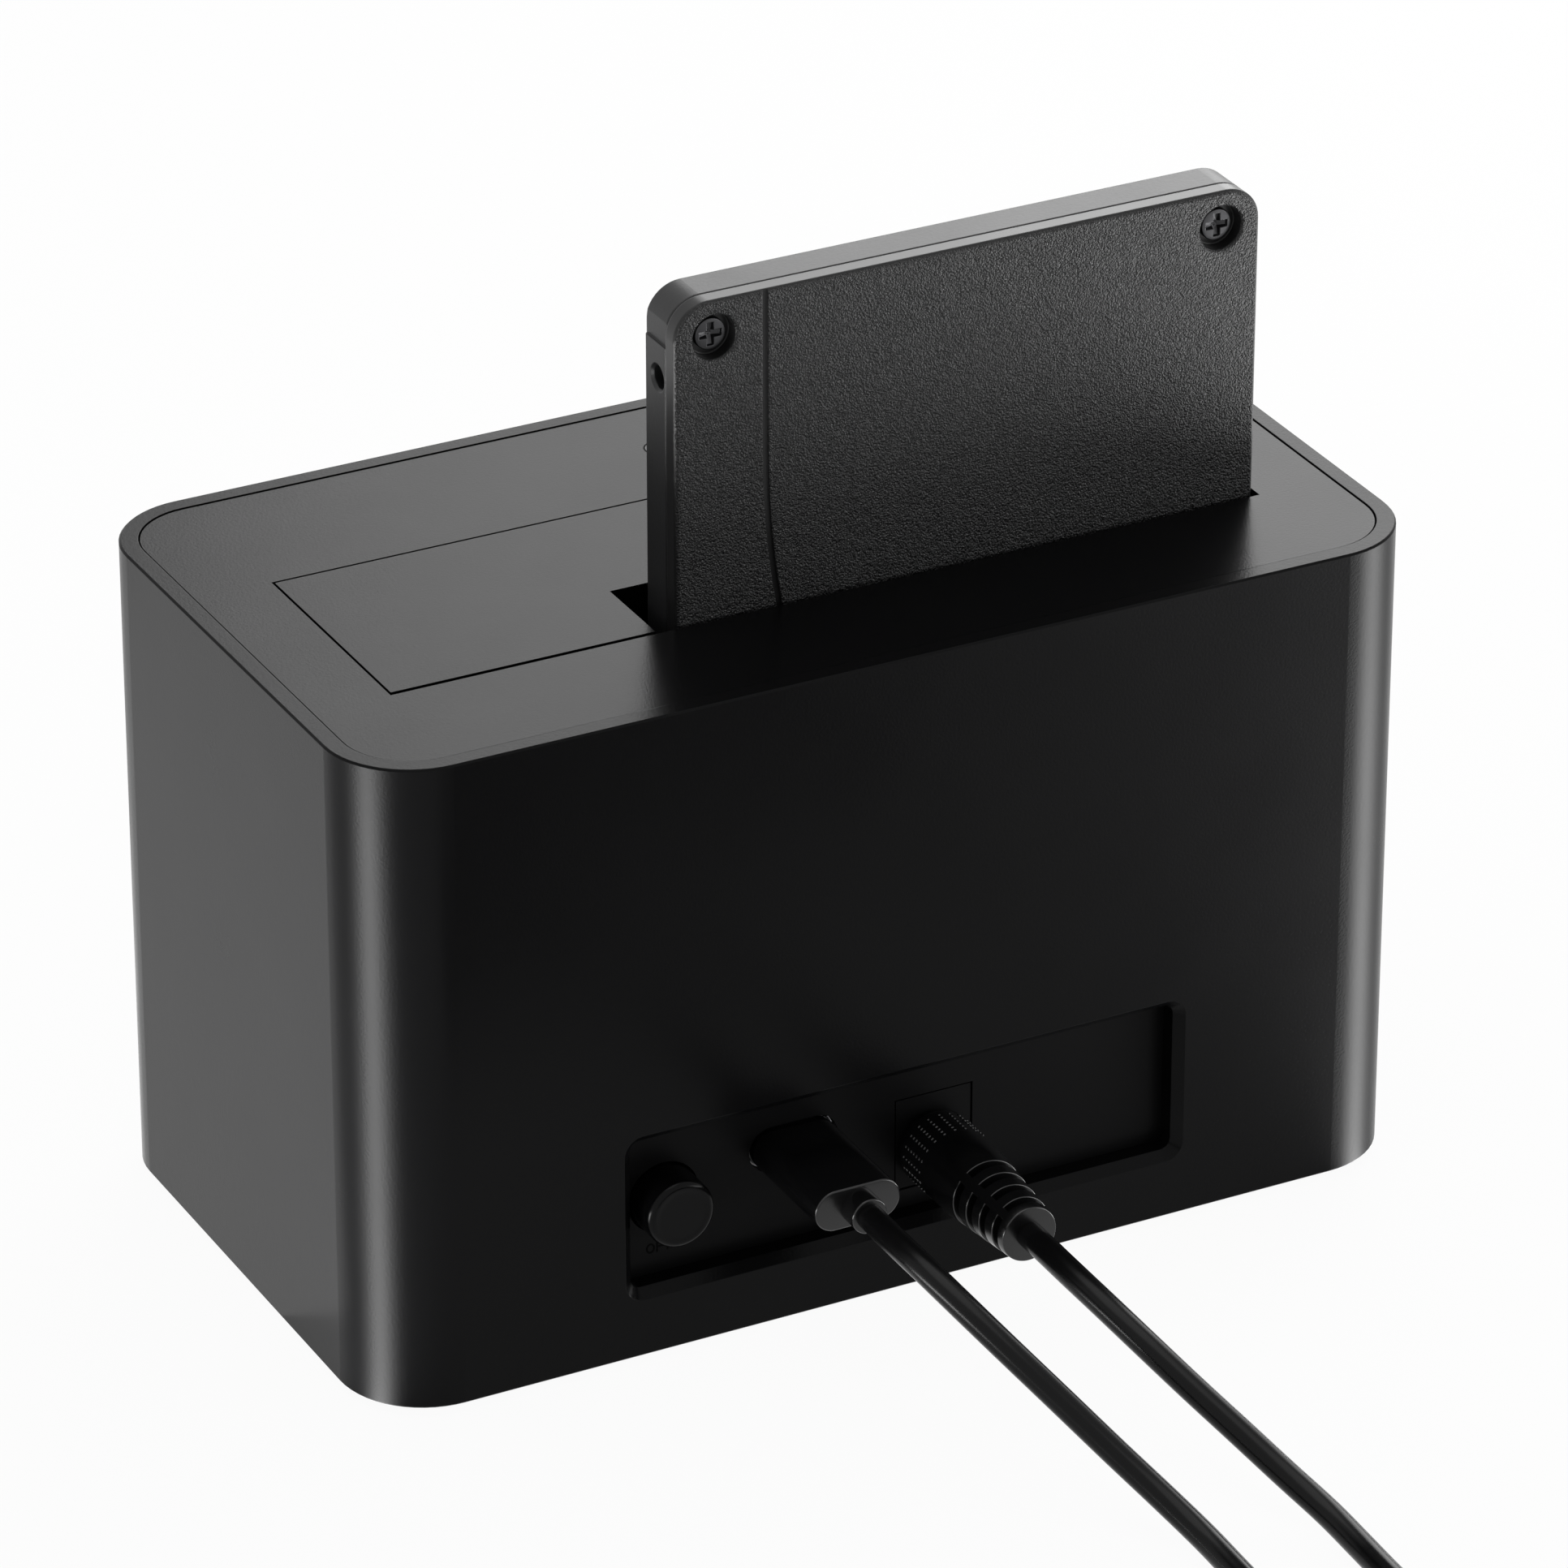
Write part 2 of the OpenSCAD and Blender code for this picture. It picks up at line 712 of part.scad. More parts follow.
module well_screws() {
    color(dark_steel) for (s = [-1, 1], y = [ear_front, ear_rear])
        translate([s * ear_x, y, lid_z - ear.z]) screw_up(well_head, [well_shank[0], ear.z + well_shank[1]]);
}

module flap() {
    x1 = bay_w / 2 - flap_gap;
    y1 = bay_rear - flap_free_gap;
    room = 2 * flap_coil_r + flap_wire + 2 * flap_spring_room;
    color(panel_black) difference() {
        union() {
            rod_x(hinge_y, hinge_z, 2 * hinge_r, -x1, x1);
            block([-x1, hinge_y - hinge_r, hinge_z], [x1, hinge_y, lid_top]);
            block([-x1, hinge_y, lid_z], [x1, notch_y, lid_top]);
            block([notch_x, hinge_y, lid_z], [x1, y1, lid_top]);
            for (x = [-x1 + flap_rib_in, notch_x + flap_rib_in, x1 - flap_rib_in])
                block([x - flap_rib[0] / 2, hinge_y, lid_z - flap_rib[1]],
                    [x + flap_rib[0] / 2, notch_y - flap_rib_in, lid_z + eps]);
        }
        rod_x(hinge_y, hinge_z, pin_d + 2 * fit, -x1 - 1, x1 + 1);
        rod_x(hinge_y, hinge_z, room, -spring_cut / 2, spring_cut / 2);
        block([-spring_cut / 2, hinge_y - hinge_r - 1, lid_z - lid_t],
            [spring_cut / 2, hinge_y + hinge_r + flap_gap, hinge_z]);
    }
}

module flap_pin() {
    color(steel) rod_x(hinge_y, hinge_z, pin_d, -bay_w / 2 - pin_seat, bay_w / 2 + pin_seat);
}

module flap_spring() {
    color(steel) tube(flap_spring_path, flap_wire, 6, [1, 0, 0]);
}

module at_feet() {
    at_corners(post_x - foot_in.x, post_y - foot_in.y) children();
}

module base_plate() {
    color(satin_black) difference() {
        union() {
            translate([0, 0, base_z]) linear_extrude(base_t)
                round_rect(in_w - 2 * panel_gap, in_d - 2 * panel_gap, in_r - panel_gap);
            for (p = standoffs) rod_z(p.x, p.y, standoff_d, base_top - eps, board_z);
            for (p = pillars) rod_z(p.x, p.y, pillar_d, base_top - eps, port_z);
            for (s = [-1, 1]) stand([s * base_rib_x, 0], base_top - eps, base_rib);
        }
        at_corners(post_x, post_y) {
            rod_z(0, 0, base_head[0] + 0.6, base_z - 1, base_z + base_seat);
            rod_z(0, 0, base_shank[0] + 0.5, base_z, base_top + 1);
        }
        at_feet() rod_z(0, 0, foot_d + 2 * panel_gap, base_z - 1, base_z + foot_seat);
        for (p = standoffs) rod_z(p.x, p.y, screw_bore, board_top - board_shank[1] - 0.5, board_z + 1);
        for (p = pillars) rod_z(p.x, p.y, screw_bore, port_z + board_t - board_shank[1] - 1, port_z + 1);
        for (i = [-vent_rows : vent_rows])
            stand([0, i * vent_pitch], base_z - 1, [vent.x, vent.y, base_t + 2]);
    }
}

module rubber_feet() {
    color(rubber_black) at_feet() cylinder(h = base_z + foot_seat, d1 = foot_d - foot_taper, d2 = foot_d);
}

module base_screws() {
    color(dark_steel) at_corners(post_x, post_y) translate([0, 0, base_z + base_seat]) screw_up(base_head, base_shank);
}

module main_board() {
    color(board_green) translate([0, 0, board_z]) linear_extrude(board_t) difference() {
        union() {
            translate([-board_x, board_y0]) square([2 * board_x, board_y1 - board_y0]);
            translate([-board_x, board_y0]) square([wing_x + board_x, wing_y - board_y0]);
        }
        for (p = standoffs) translate(p) circle(d = board_hole);
    }
}

module board_screws() {
    color(steel) {
        for (p = standoffs) translate([p.x, p.y, board_top]) mirror([0, 0, 1]) screw_up(board_head, board_shank);
        for (p = pillars)
            translate([p.x, p.y, port_z + board_t]) mirror([0, 0, 1]) screw_up(board_head, board_shank);
    }
}

// The two blades of the drive connector, grown by g on every side
module sata_blades(g, z0, z1) {
    ends = [[-blade_end, blade_split[0]], [blade_split[1], blade_end]];
    for (e = ends) {
        block([sata_x + e[0] - g, sata_y - blade_t / 2 - g, z0], [sata_x + e[1] + g, sata_y + blade_t / 2 + g, z1]);
        block([sata_x + e[1] - blade_key[0] - g, sata_y - blade_t / 2 - blade_key[1] - g, z0],
            [sata_x + e[1] + g, sata_y, z1]);
    }
}

module sata_socket() {
    tower_z = drive_z0 + sata_tower.z;
    color(chip_black) difference() {
        union() {
            stand([sata_x, sata_y], board_top, [sata_base.x, sata_base.y, drive_z0 - sata_down - board_top]);
            stand([sata_x, sata_y], board_top, [sata_tower.x, sata_tower.y, tower_z - board_top]);
        }
        sata_blades(sata_clear, drive_z0, tower_z + 1);
    }
}

module sata_contacts() {
    color(gold) for (i = [0 : contact_count - 1])
        stand([sata_x + (i - (contact_count - 1) / 2) * contact_pitch, sata_y - (sata_base.y + contact.y) / 2],
            board_top, contact);
}

// Flat chip with legs on two sides, standing on a board at z
module chip(at, z, size) {
    legs = floor(size.x / leg_pitch);
    stand(at, z, size);
    for (i = [0 : legs - 1], s = [-1, 1])
        stand([at.x + (i - (legs - 1) / 2) * leg_pitch, at.y + s * (size.y / 2 + leg_out)], z, leg);
}

module bridge_chip() {
    color(chip_black) chip(bridge_at, board_top, bridge);
}

module power_chips() {
    color(chip_black) for (p = regulators_at) chip(p, board_top, regulator);
}

module inductor() {
    color(dark_steel) translate([choke_at.x, choke_at.y, board_top]) linear_extrude(choke.z)
        round_rect(choke.x, choke.y, choke_corner);
}

module capacitors() {
    color(dark_steel) for (p = caps_at) rod_z(p.x, p.y, cap_d, board_top, board_top + cap_h);
}

module crystal() {
    color(steel) translate([crystal_at.x, crystal_at.y, board_top]) linear_extrude(crystal_size.z)
        stadium(crystal_size.x, crystal_size.y);
}

module board_header() {
    color(chip_black) {
        stand(header_at, board_top, header);
        stand(header_at, port_z - header.z, header);
    }
    color(gold) for (i = [0 : header_pins - 1])
        stand([header_at.x + (i - (header_pins - 1) / 2) * header_pitch, header_at.y], board_top + header.z - eps,
            [header_pin, header_pin, port_z - board_top - 2 * header.z + 2 * eps]);
}

// The port board stops short of the button's flange, which slides in and out beside it
module port_board() {
    y0 = bay_rear + port_board_in[0];
    flange_room = button_d + 2 * flange[0] + 1;
    color(board_green) translate([0, 0, port_z]) linear_extrude(board_t) difference() {
        translate([port_board_x[0], y0])
            square([port_board_x[1] - port_board_x[0], panel_in - port_board_in[1] - y0]);
        for (p = pillars) translate(p) circle(d = board_hole);
        translate([button_at.x - flange_room / 2, flange_y - button_travel - port_board_in[0]])
            square([flange_room, panel_in]);
    }
}

module port_panel() {
    color(panel_black) along_y(panel_in, panel_y) difference() {
        translate([0, win_z]) square([win_w + 2 * panel_border, win_h + 2 * panel_border], center = true);
        translate(button_at) circle(d = button_d + 2 * button_hole_gap);
        translate(usb_at) stadium(usb_size.x + 2 * usb_hole_gap, usb_size.y + 2 * usb_hole_gap);
        translate([jack_x - jack_w / 2 - jack_gap, jack_z - jack_gap])
            square([jack_w + 2 * jack_gap, port_z - jack_z + 2 * jack_gap]);
    }
}

module usb_socket() {
    back = panel_in - usb_shell_l;
    color(steel) difference() {
        along_y(back, panel_in + usb_shell_out) translate(usb_at) stadium(usb_shell.x, usb_shell.y);
        along_y(back + usb_floor, panel_in + 1) translate(usb_at) stadium(usb_mouth.x, usb_mouth.y);
    }
}

module usb_tongue() {
    color(chip_black) along_y(panel_in - usb_shell_l + usb_floor, panel_in - usb_tongue_in)
        translate(usb_at) square(usb_tongue_size, center = true);
}

module dc_jack() {
    color(chip_black) difference() {
        block([jack_x - jack_w / 2, bay_rear + jack_in, jack_z], [jack_x + jack_w / 2, panel_y - face_in, port_z]);
        rod_y(dc_at.x, dc_at.y, jack_bore, dc_start - jack_deep, panel_y + 1);
    }
}

module dc_jack_pin() {
    color(steel) rod_y(dc_at.x, dc_at.y, jack_pin_d, dc_start - jack_deep, panel_y - jack_pin_in);
}

module switch_body() {
    half = switch_size / 2;
    color(chip_black) difference() {
        block([button_at.x - half, bay_rear + port_board_in[0], button_at.y - half],
            [button_at.x + half, switch_y, port_z]);
        rod_y(button_at.x, button_at.y, stem_d + 2 * stem_gap, switch_y - switch_deep, switch_y + 1);
    }
}

module power_button() {
    r = button_d / 2;
    h = button_face - flange_y;
    color(satin_black) {
        translate([button_at.x, flange_y, button_at.y]) rotate([-90, 0, 0]) rotate_extrude() union() {
            square([r, h - button_edge]);
            square([r - button_edge, h]);
            translate([r - button_edge, h - button_edge]) circle(button_edge);
            square([r + flange[0], flange[1]]);
        }
        rod_y(button_at.x, button_at.y, stem_d, flange_y - stem_l, flange_y + eps);
    }
}

module button_spring() {
    color(steel) tube(button_spring_path, spring_wire, 6, [0, 1, 0]);
}

module light_board() {
    z = lid_z - light_post_l - light_board_size.z;
    color(board_green) translate([light_at.x, light_at.y, z]) linear_extrude(light_board_size.z) difference() {
        square([light_board_size.x, light_board_size.y], center = true);
        for (s = [-1, 1]) translate([s * light_post_x, 0]) circle(d = light_post[1] + 4 * fit);
    }
}

module status_light() {
    z = lid_z - light_post_l;
    color(clear_white) {
        rod_z(light_at.x, light_at.y, lamp_d, z, lid_z - pipe_down - lamp_gap);
        rod_z(light_at.x, light_at.y, lamp_rim[0], z, z + lamp_rim[1]);
    }
}

module light_pipe() {
    color(clear_white) {
        rod_z(light_at.x, light_at.y, pipe_d, lid_z - pipe_down, lid_top);
        rod_z(light_at.x, light_at.y, pipe_flange[0], lid_z - pipe_flange[1], lid_z);
    }
}

module drive_outline(inset) {
    translate([drive_cx, drive_cz]) round_rect(drive_w - 2 * inset, drive_l - 2 * inset, drive_r - inset);
}

module at_bosses() {
    for (sx = [-1, 1], sz = [-1, 1])
        translate([drive_cx + sx * (drive_w / 2 - boss_in.x), drive_cz + sz * (drive_l / 2 - boss_in.y)])
            children();
}

// Inside of the drive, with the screw bosses left standing
module drive_inside() {
    difference() {
        drive_outline(drive_wall);
        at_bosses() circle(boss_r);
    }
}

module drive_mouth() {
    half = [sata_tower.x / 2 + mouth_side, sata_tower.y / 2 + sata_clear];
    block([sata_x - half.x, sata_y - half.y, drive_z0 - 1],
        [sata_x + half.x, sata_y + half.y, drive_z0 + drive_wall + 1]);
}

module drive_case() {
    color(satin_black) difference() {
        along_y(drive_y0, seam_y) drive_outline(0);
        along_y(drive_y0 + drive_skin, seam_y + 1) drive_inside();
        along_y(seam_y - drive_shank[1] + cover_t - recess_t, seam_y + 1) at_bosses() circle(d = boss_bore);
        drive_mouth();
        for (z = side_holes) {
            rod_x(drive_y0 + side_hole_y, drive_z1 - z, side_hole_d, drive_x0 - 1, drive_x1 + 1);
            for (s = [-1, 1])
                translate([drive_cx + s * (drive_w / 2 - side_hole_edge), drive_y0 + side_hole_y, drive_z1 - z])
                    rotate([0, s * 90, 0]) cylinder(h = 2 * side_hole_edge, d1 = side_hole_d,
                        d2 = side_hole_d + 4 * side_hole_edge);
        }
        translate([drive_cx, seam_y, drive_cz]) rotate([-90, 0, 0]) bevel_off(drive_w, drive_l, drive_r, seam_bevel);
        for (x = [drive_x0, drive_x1])
            block([x - side_step.x, drive_y0 - 1, drive_z1 - side_step.y], [x + side_step.x, seam_y + 1, drive_z1 + 1]);
        translate([drive_cx, drive_y0, drive_cz]) rotate([90, 0, 0]) bevel_off(drive_w, drive_l, drive_r, drive_bevel);
    }
}

// Outline of the fine line on the cover
module cover_line() {
    x = drive_x1 - line_in;
    z = drive_z1 - line_straight;
    translate([x - line_w / 2, z - eps]) square([line_w, line_straight + 1]);
    intersection() {
        translate([x - line_arc_r, z]) difference() {
            circle(line_arc_r + line_w / 2, $fn = 240);
            circle(line_arc_r - line_w / 2, $fn = 240);
        }
        translate([x - line_arc_r, drive_z0 - 1]) square([line_arc_r + line_w, z - drive_z0 + 1]);
    }
}

// Recess for a screw's head, with a round edge at the face of the cover
module recess_cut() {
    rotate([-90, 0, 0]) rotate_extrude() {
        square([recess_d / 2, recess_t + 1]);
        translate([recess_d / 2 - eps, recess_t - recess_edge]) difference() {
            square([recess_edge + eps, recess_edge + 1]);
            translate([recess_edge + eps, 0]) circle(recess_edge);
        }
    }
}

module drive_cover() {
    color(satin_black) difference() {
        along_y(seam_y, drive_y1) drive_outline(0);
        along_y(seam_y - 1, drive_y1 - drive_skin) drive_inside();
        for (sx = [-1, 1], sz = [-1, 1])
            translate([drive_cx + sx * (drive_w / 2 - boss_in.x), drive_y1 - recess_t,
                drive_cz + sz * (drive_l / 2 - boss_in.y)]) recess_cut();
        along_y(seam_y - 1, drive_y1) at_bosses() circle(d = drive_shank[0] + 0.4);
        along_y(drive_y1 - line_t, drive_y1 + 1) cover_line();
        drive_mouth();
        translate([drive_cx, drive_y1, drive_cz]) rotate([-90, 0, 0]) bevel_off(drive_w, drive_l, drive_r, drive_bevel);
        translate([drive_cx, seam_y, drive_cz]) rotate([90, 0, 0]) bevel_off(drive_w, drive_l, drive_r, seam_bevel);
    }
}

module drive_screws() {
    color(dark_steel) for (sx = [-1, 1], sz = [-1, 1])
        translate([drive_cx + sx * (drive_w / 2 - boss_in.x), drive_y1 - recess_t,
            drive_cz + sz * (drive_l / 2 - boss_in.y)])
            rotate([90, 0, 0]) screw_up(drive_head, drive_shank);
}

module drive_connector() {
    z = drive_z0 + blade_foot;
    color(chip_black) {
        block([sata_x - drive_plug.x / 2, drive_y0 + drive_skin, z],
            [sata_x + drive_plug.x / 2, drive_y1 - drive_skin, z + drive_plug.y]);
        sata_blades(0, drive_z0 + blade_tip, z + eps);
    }
}

module drive_board() {
    color(board_green) block([drive_x0 + drive_board_in, sata_y - drive_board_t / 2, drive_board_z],
        [drive_x1 - drive_board_in, sata_y + drive_board_t / 2, drive_board_z + drive_board_l]);
}

module drive_chips() {
    color(chip_black) for (i = [-1 : 1], j = [0, 1])
        translate([drive_cx + i * flash_pitch.x - flash.x / 2, sata_y + drive_board_t / 2,
            drive_board_z + flash_up + j * flash_pitch.y - flash.z / 2]) cube(flash);
}

module usb_plug_grip() {
    color(satin_black) {
        along_y(panel_in + usb_grip_in, usb_end) translate(usb_at) stadium(usb_size.x, usb_size.y);
        rod_y(usb_at.x, usb_at.y, usb_collar_d, usb_end - eps, usb_collar_end);
    }
}

module usb_plug_shell() {
    t = 2 * plug_shell_t;
    color(steel) along_y(panel_in - plug_shell_l, panel_in + usb_grip_in) translate(usb_at) difference() {
        stadium(plug_shell.x, plug_shell.y);
        stadium(plug_shell.x - t, plug_shell.y - t);
    }
}

module usb_cord() {
    color(satin_black) tube(usb_route, cord_d, 8, [0, 0, 1]);
}

module usb_coil() {
    color(satin_black) tube(usb_path, cord_d, 6, [0, 0, 1]);
}

// Band round the turns of a coil, on the far side from the dock
module coil_tie(at, outer_r) {
    r0 = coil_in - pitch / 8 - cord_d / 2 - tie_room;
    r1 = outer_r + cord_d / 2 + 2 * tie_room;
    z1 = coil_z + pitch + cord_d / 2 + tie_room;
    color(rubber_black) translate([at.x, at.y, 0]) difference() {
        block([-tie_w / 2, r0 - tie_t, 0], [tie_w / 2, r1 + tie_t, z1 + tie_t]);
        block([-tie_w, r0, tie_under], [tie_w, r1, z1]);
    }
}

module usb_tie() {
    coil_tie(usb_coil_at, usb_coil_r);
}

// Grip of the far plug: a tapered neck, a body with round edges and a dished thumb rest
module usb_far_grip() {
    color(satin_black) difference() {
        union() {
            translate([usb_lane, usb_far_y, far_z]) rotate([-90, 0, 0])
                cylinder(h = far_neck.z + eps, d1 = far_neck.x, d2 = far_neck.y);
            along_y(far_grip_y, far_shell_y) translate([usb_lane, far_z]) round_rect(far_grip.x, far_grip.y, far_grip_r);
        }
        translate([usb_lane, far_grip_y + far_grip.z / 2, far_z + far_grip.y / 2 - far_thumb.z])
            linear_extrude(1) rotate(90) stadium(far_thumb.x, far_thumb.y);
    }
}

module usb_far_shell() {
    t = 2 * far_shell_t;
    color(steel) difference() {
        along_y(far_shell_y, far_shell_y + far_shell.z) translate([usb_lane, far_z]) difference() {
            square([far_shell.x, far_shell.y], center = true);
            square([far_shell.x - t, far_shell.y - t], center = true);
        }
        for (s = [-1, 1])
            stand([usb_lane + s * far_window.y, far_shell_y + far_window.z], far_z - far_shell.y,
                [far_window.x, far_window.x, 2 * far_shell.y]);
    }
}

module usb_far_tongue() {
    z = far_z - far_shell.y / 2 + far_shell_t + fit;
    color(chip_black) translate([usb_lane - far_tongue.x / 2, far_shell_y, z])
        cube([far_tongue.x, far_tongue.z, far_tongue.y]);
}

// Strain relief: rings of two slots, with a spine left on either side between them
module relief_slots() {
    for (i = [0 : slot_rows - 1], side = [-1, 1])
        translate([dc_at.x, dc_end - slot_back + i * slot_pitch, dc_at.y])
            rotate([-90, 0, 0]) rotate(side * 90 - spine_turn - slot_angle / 2) rotate_extrude(angle = slot_angle)
                translate([slot_floor, 0]) square([dc_r, slot_w]);
}

module dc_plug_grip() {
    color(satin_black) difference() {
        translate([dc_at.x, 0, dc_at.y]) rotate([-90, 0, 0]) rotate_extrude() polygon([
            [0, dc_start], [dc_r - dc_edge.x, dc_start], [dc_r, dc_start + dc_edge.y], [dc_r, dc_end - dc_taper[0]],
            [dc_shoulder_r, dc_end - dc_taper[1]], [dc_tip_r, dc_end], [0, dc_end]
        ]);
        relief_slots();
    }
}

module dc_plug_barrel() {
    color(steel) difference() {
        rod_y(dc_at.x, dc_at.y, dc_barrel_d, dc_start - dc_barrel_l, dc_start);
        rod_y(dc_at.x, dc_at.y, dc_barrel_bore, dc_start - dc_barrel_l - 1, dc_start - 0.5);
    }
}

module dc_cord() {
    color(satin_black) tube(dc_route, cord_d, 8, [0, 0, 1]);
}

module dc_coil() {
    color(satin_black) tube(dc_path, cord_d, 6, [0, 0, 1]);
}

module dc_tie() {
    coil_tie(dc_coil_at, dc_coil_r);
}

// Grip grooves up the two long sides of the adapter
module adapter_grooves() {
    for (i = [0 : groove_count - 1], s = [-1, 1])
        translate([adapter_x + (i - (groove_count - 1) / 2) * groove_pitch - groove.x / 2,
            adapter_cy + s * adapter.y / 2 - groove.y, groove_z[0]])
            cube([groove.x, 2 * groove.y, groove_z[1] - groove_z[0]]);
}

// Shell of the adapter between z0 and z1, hollow from h0 to h1, with bevelled outer edges
module adapter_shell(z0, z1, h0, h1, low, high) {
    at = [adapter_x, adapter_cy, 0];
    difference() {
        translate(at + [0, 0, z0]) linear_extrude(z1 - z0) round_rect(adapter.x, adapter.y, adapter_r);
        translate(at + [0, 0, h0]) linear_extrude(h1 - h0)
            round_rect(adapter.x - 2 * adapter_t, adapter.y - 2 * adapter_t, adapter_r - adapter_t);
        translate(at + [0, 0, z0]) mirror([0, 0, 1]) bevel_off(adapter.x, adapter.y, adapter_r, low);
        translate(at + [0, 0, z1]) bevel_off(adapter.x, adapter.y, adapter_r, high);
        adapter_grooves();
    }
}

module adapter_case() {
    color(satin_black)
        adapter_shell(0, adapter_split, adapter_t, adapter_split + 1, adapter_bevel, adapter_seam);
}

module adapter_lid() {
    color(satin_black)
        adapter_shell(adapter_split, adapter.z, adapter_split - 1, adapter.z - adapter_t, adapter_seam, adapter_bevel);
}

module adapter_blades() {
    color(steel) for (s = [-1, 1])
        translate([adapter_x + adapter.x / 2, adapter_cy + (s * blade_spread + blade.y) / 2, blade_z])
            rotate([90, 0, 0]) linear_extrude(blade.y) difference() {
                polygon([[0, 0], [blade.x - blade_nose, 0], [blade.x, blade_nose], [blade.x, blade.z - blade_nose],
                    [blade.x - blade_nose, blade.z], [0, blade.z]]);
                translate([blade.x - blade_hole_in, blade.z / 2]) circle(d = blade_hole);
            }
}

// Ringed, tapered strain relief where the lead goes into the adapter
module adapter_grommet() {
    step = grommet_l / grommet_rings;
    color(rubber_black) translate([dc_lane, grommet_y, grommet_z]) rotate([-90, 0, 0])
        for (i = [0 : grommet_rings - 1]) {
            d = grommet_d[0] + (grommet_d[1] - grommet_d[0]) * (i + 1) / grommet_rings;
            rod_z(0, 0, grommet_d[0], i * step - (i > 0 ? eps : 0), (i + 1) * step);
            rod_z(0, 0, d, (i + 0.4) * step, (i + 1) * step);
        }
}

outer_sleeve();
top_panel();
drive_well();
well_screws();
flap();
flap_pin();
flap_spring();
base_plate();
rubber_feet();
base_screws();
main_board();
board_screws();
sata_socket();
sata_contacts();
bridge_chip();
power_chips();
inductor();
capacitors();
crystal();
board_header();
port_board();
port_panel();
usb_socket();
usb_tongue();
dc_jack();
dc_jack_pin();
switch_body();
power_button();
button_spring();
light_board();
status_light();
light_pipe();
drive_case();
drive_cover();
drive_board();
drive_chips();
drive_connector();
drive_screws();
usb_plug_grip();
usb_plug_shell();
usb_cord();
usb_coil();
usb_tie();
usb_far_grip();
usb_far_shell();
usb_far_tongue();
dc_plug_grip();
dc_plug_barrel();
dc_cord();
dc_coil();
dc_tie();
adapter_case();
adapter_lid();
adapter_blades();
adapter_grommet();
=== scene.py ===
"""Looks of a hard drive docking station: finishes, leads, plugs, button, screws, studio and camera."""
import logging
import math
from dataclasses import dataclass
from enum import Enum
from typing import Any, ClassVar, Optional, Sequence, Union

import bpy
import numpy as np
from mathutils import Matrix, Vector


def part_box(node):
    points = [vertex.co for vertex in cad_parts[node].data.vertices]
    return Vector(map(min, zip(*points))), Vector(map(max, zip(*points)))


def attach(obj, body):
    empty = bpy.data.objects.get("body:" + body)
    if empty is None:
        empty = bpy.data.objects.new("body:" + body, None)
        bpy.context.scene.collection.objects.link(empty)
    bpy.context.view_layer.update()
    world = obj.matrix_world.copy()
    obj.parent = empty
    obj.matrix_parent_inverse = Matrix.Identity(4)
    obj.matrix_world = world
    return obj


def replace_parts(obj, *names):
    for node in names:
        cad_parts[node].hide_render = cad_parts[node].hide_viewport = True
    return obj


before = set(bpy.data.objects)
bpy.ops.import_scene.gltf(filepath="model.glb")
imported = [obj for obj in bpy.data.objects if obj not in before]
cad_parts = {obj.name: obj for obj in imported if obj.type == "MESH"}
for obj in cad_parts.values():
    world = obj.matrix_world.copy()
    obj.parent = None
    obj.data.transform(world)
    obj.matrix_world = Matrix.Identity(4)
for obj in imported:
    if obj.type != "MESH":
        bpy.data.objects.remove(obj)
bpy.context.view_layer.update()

MM = 0.001
LOG = logging.getLogger("dock")
Vec = Sequence[float]
Colour = tuple[float, float, float]
Array = np.ndarray
WHITE = (1.0, 1.0, 1.0, 1.0)


# Shader expressions

class Sock:
    """A shader socket that takes part in Python expressions on values."""

    def __init__(self, graph: "Graph", socket: bpy.types.NodeSocket) -> None:
        """Keep the graph and the output socket."""
        self.graph = graph
        self.socket = socket

    def _math(self, operation: str, a: Any, b: Any, clamp: bool = False) -> "Sock":
        """Add a Math node.

        Args:
            operation: Name of the Math node's operation.
            a: First value or socket.
            b: Second value or socket.
            clamp: Whether the result is held between 0 and 1.
        Returns:
            The result's socket.
        """
        settings = {"operation": operation, "use_clamp": clamp}
        return self.graph.node("ShaderNodeMath", settings, {0: a, 1: b})[0]

    def __add__(self, other: Any) -> "Sock":
        """Sum."""
        return self._math("ADD", self, other)

    __radd__ = __add__

    def __sub__(self, other: Any) -> "Sock":
        """Difference."""
        return self._math("SUBTRACT", self, other)

    def __rsub__(self, other: Any) -> "Sock":
        """Difference, turned round."""
        return self._math("SUBTRACT", other, self)

    def __mul__(self, other: Any) -> "Sock":
        """Product."""
        return self._math("MULTIPLY", self, other)

    __rmul__ = __mul__

    def clamped(self) -> "Sock":
        """The value held between 0 and 1."""
        return self._math("ADD", self, 0.0, clamp=True)

    def most(self, other: Any) -> "Sock":
        """The larger of two values."""
        return self._math("MAXIMUM", self, other)

    def step(self, low: float, high: float) -> "Sock":
        """A smooth rise from 0 at low to 1 at high."""
        return self.graph.node("ShaderNodeMapRange", {"interpolation_type": "SMOOTHSTEP"},
                               {"Value": self, "From Min": low, "From Max": high})[0]


class Outputs:
    """The outputs of one shader node, by number or by name."""

    def __init__(self, graph: "Graph", made: bpy.types.Node) -> None:
        """Keep the graph and the node."""
        self.graph = graph
        self.made = made

    def __getitem__(self, key: Union[int, str]) -> Sock:
        """The output socket of that number or name."""
        return Sock(self.graph, self.made.outputs[key])


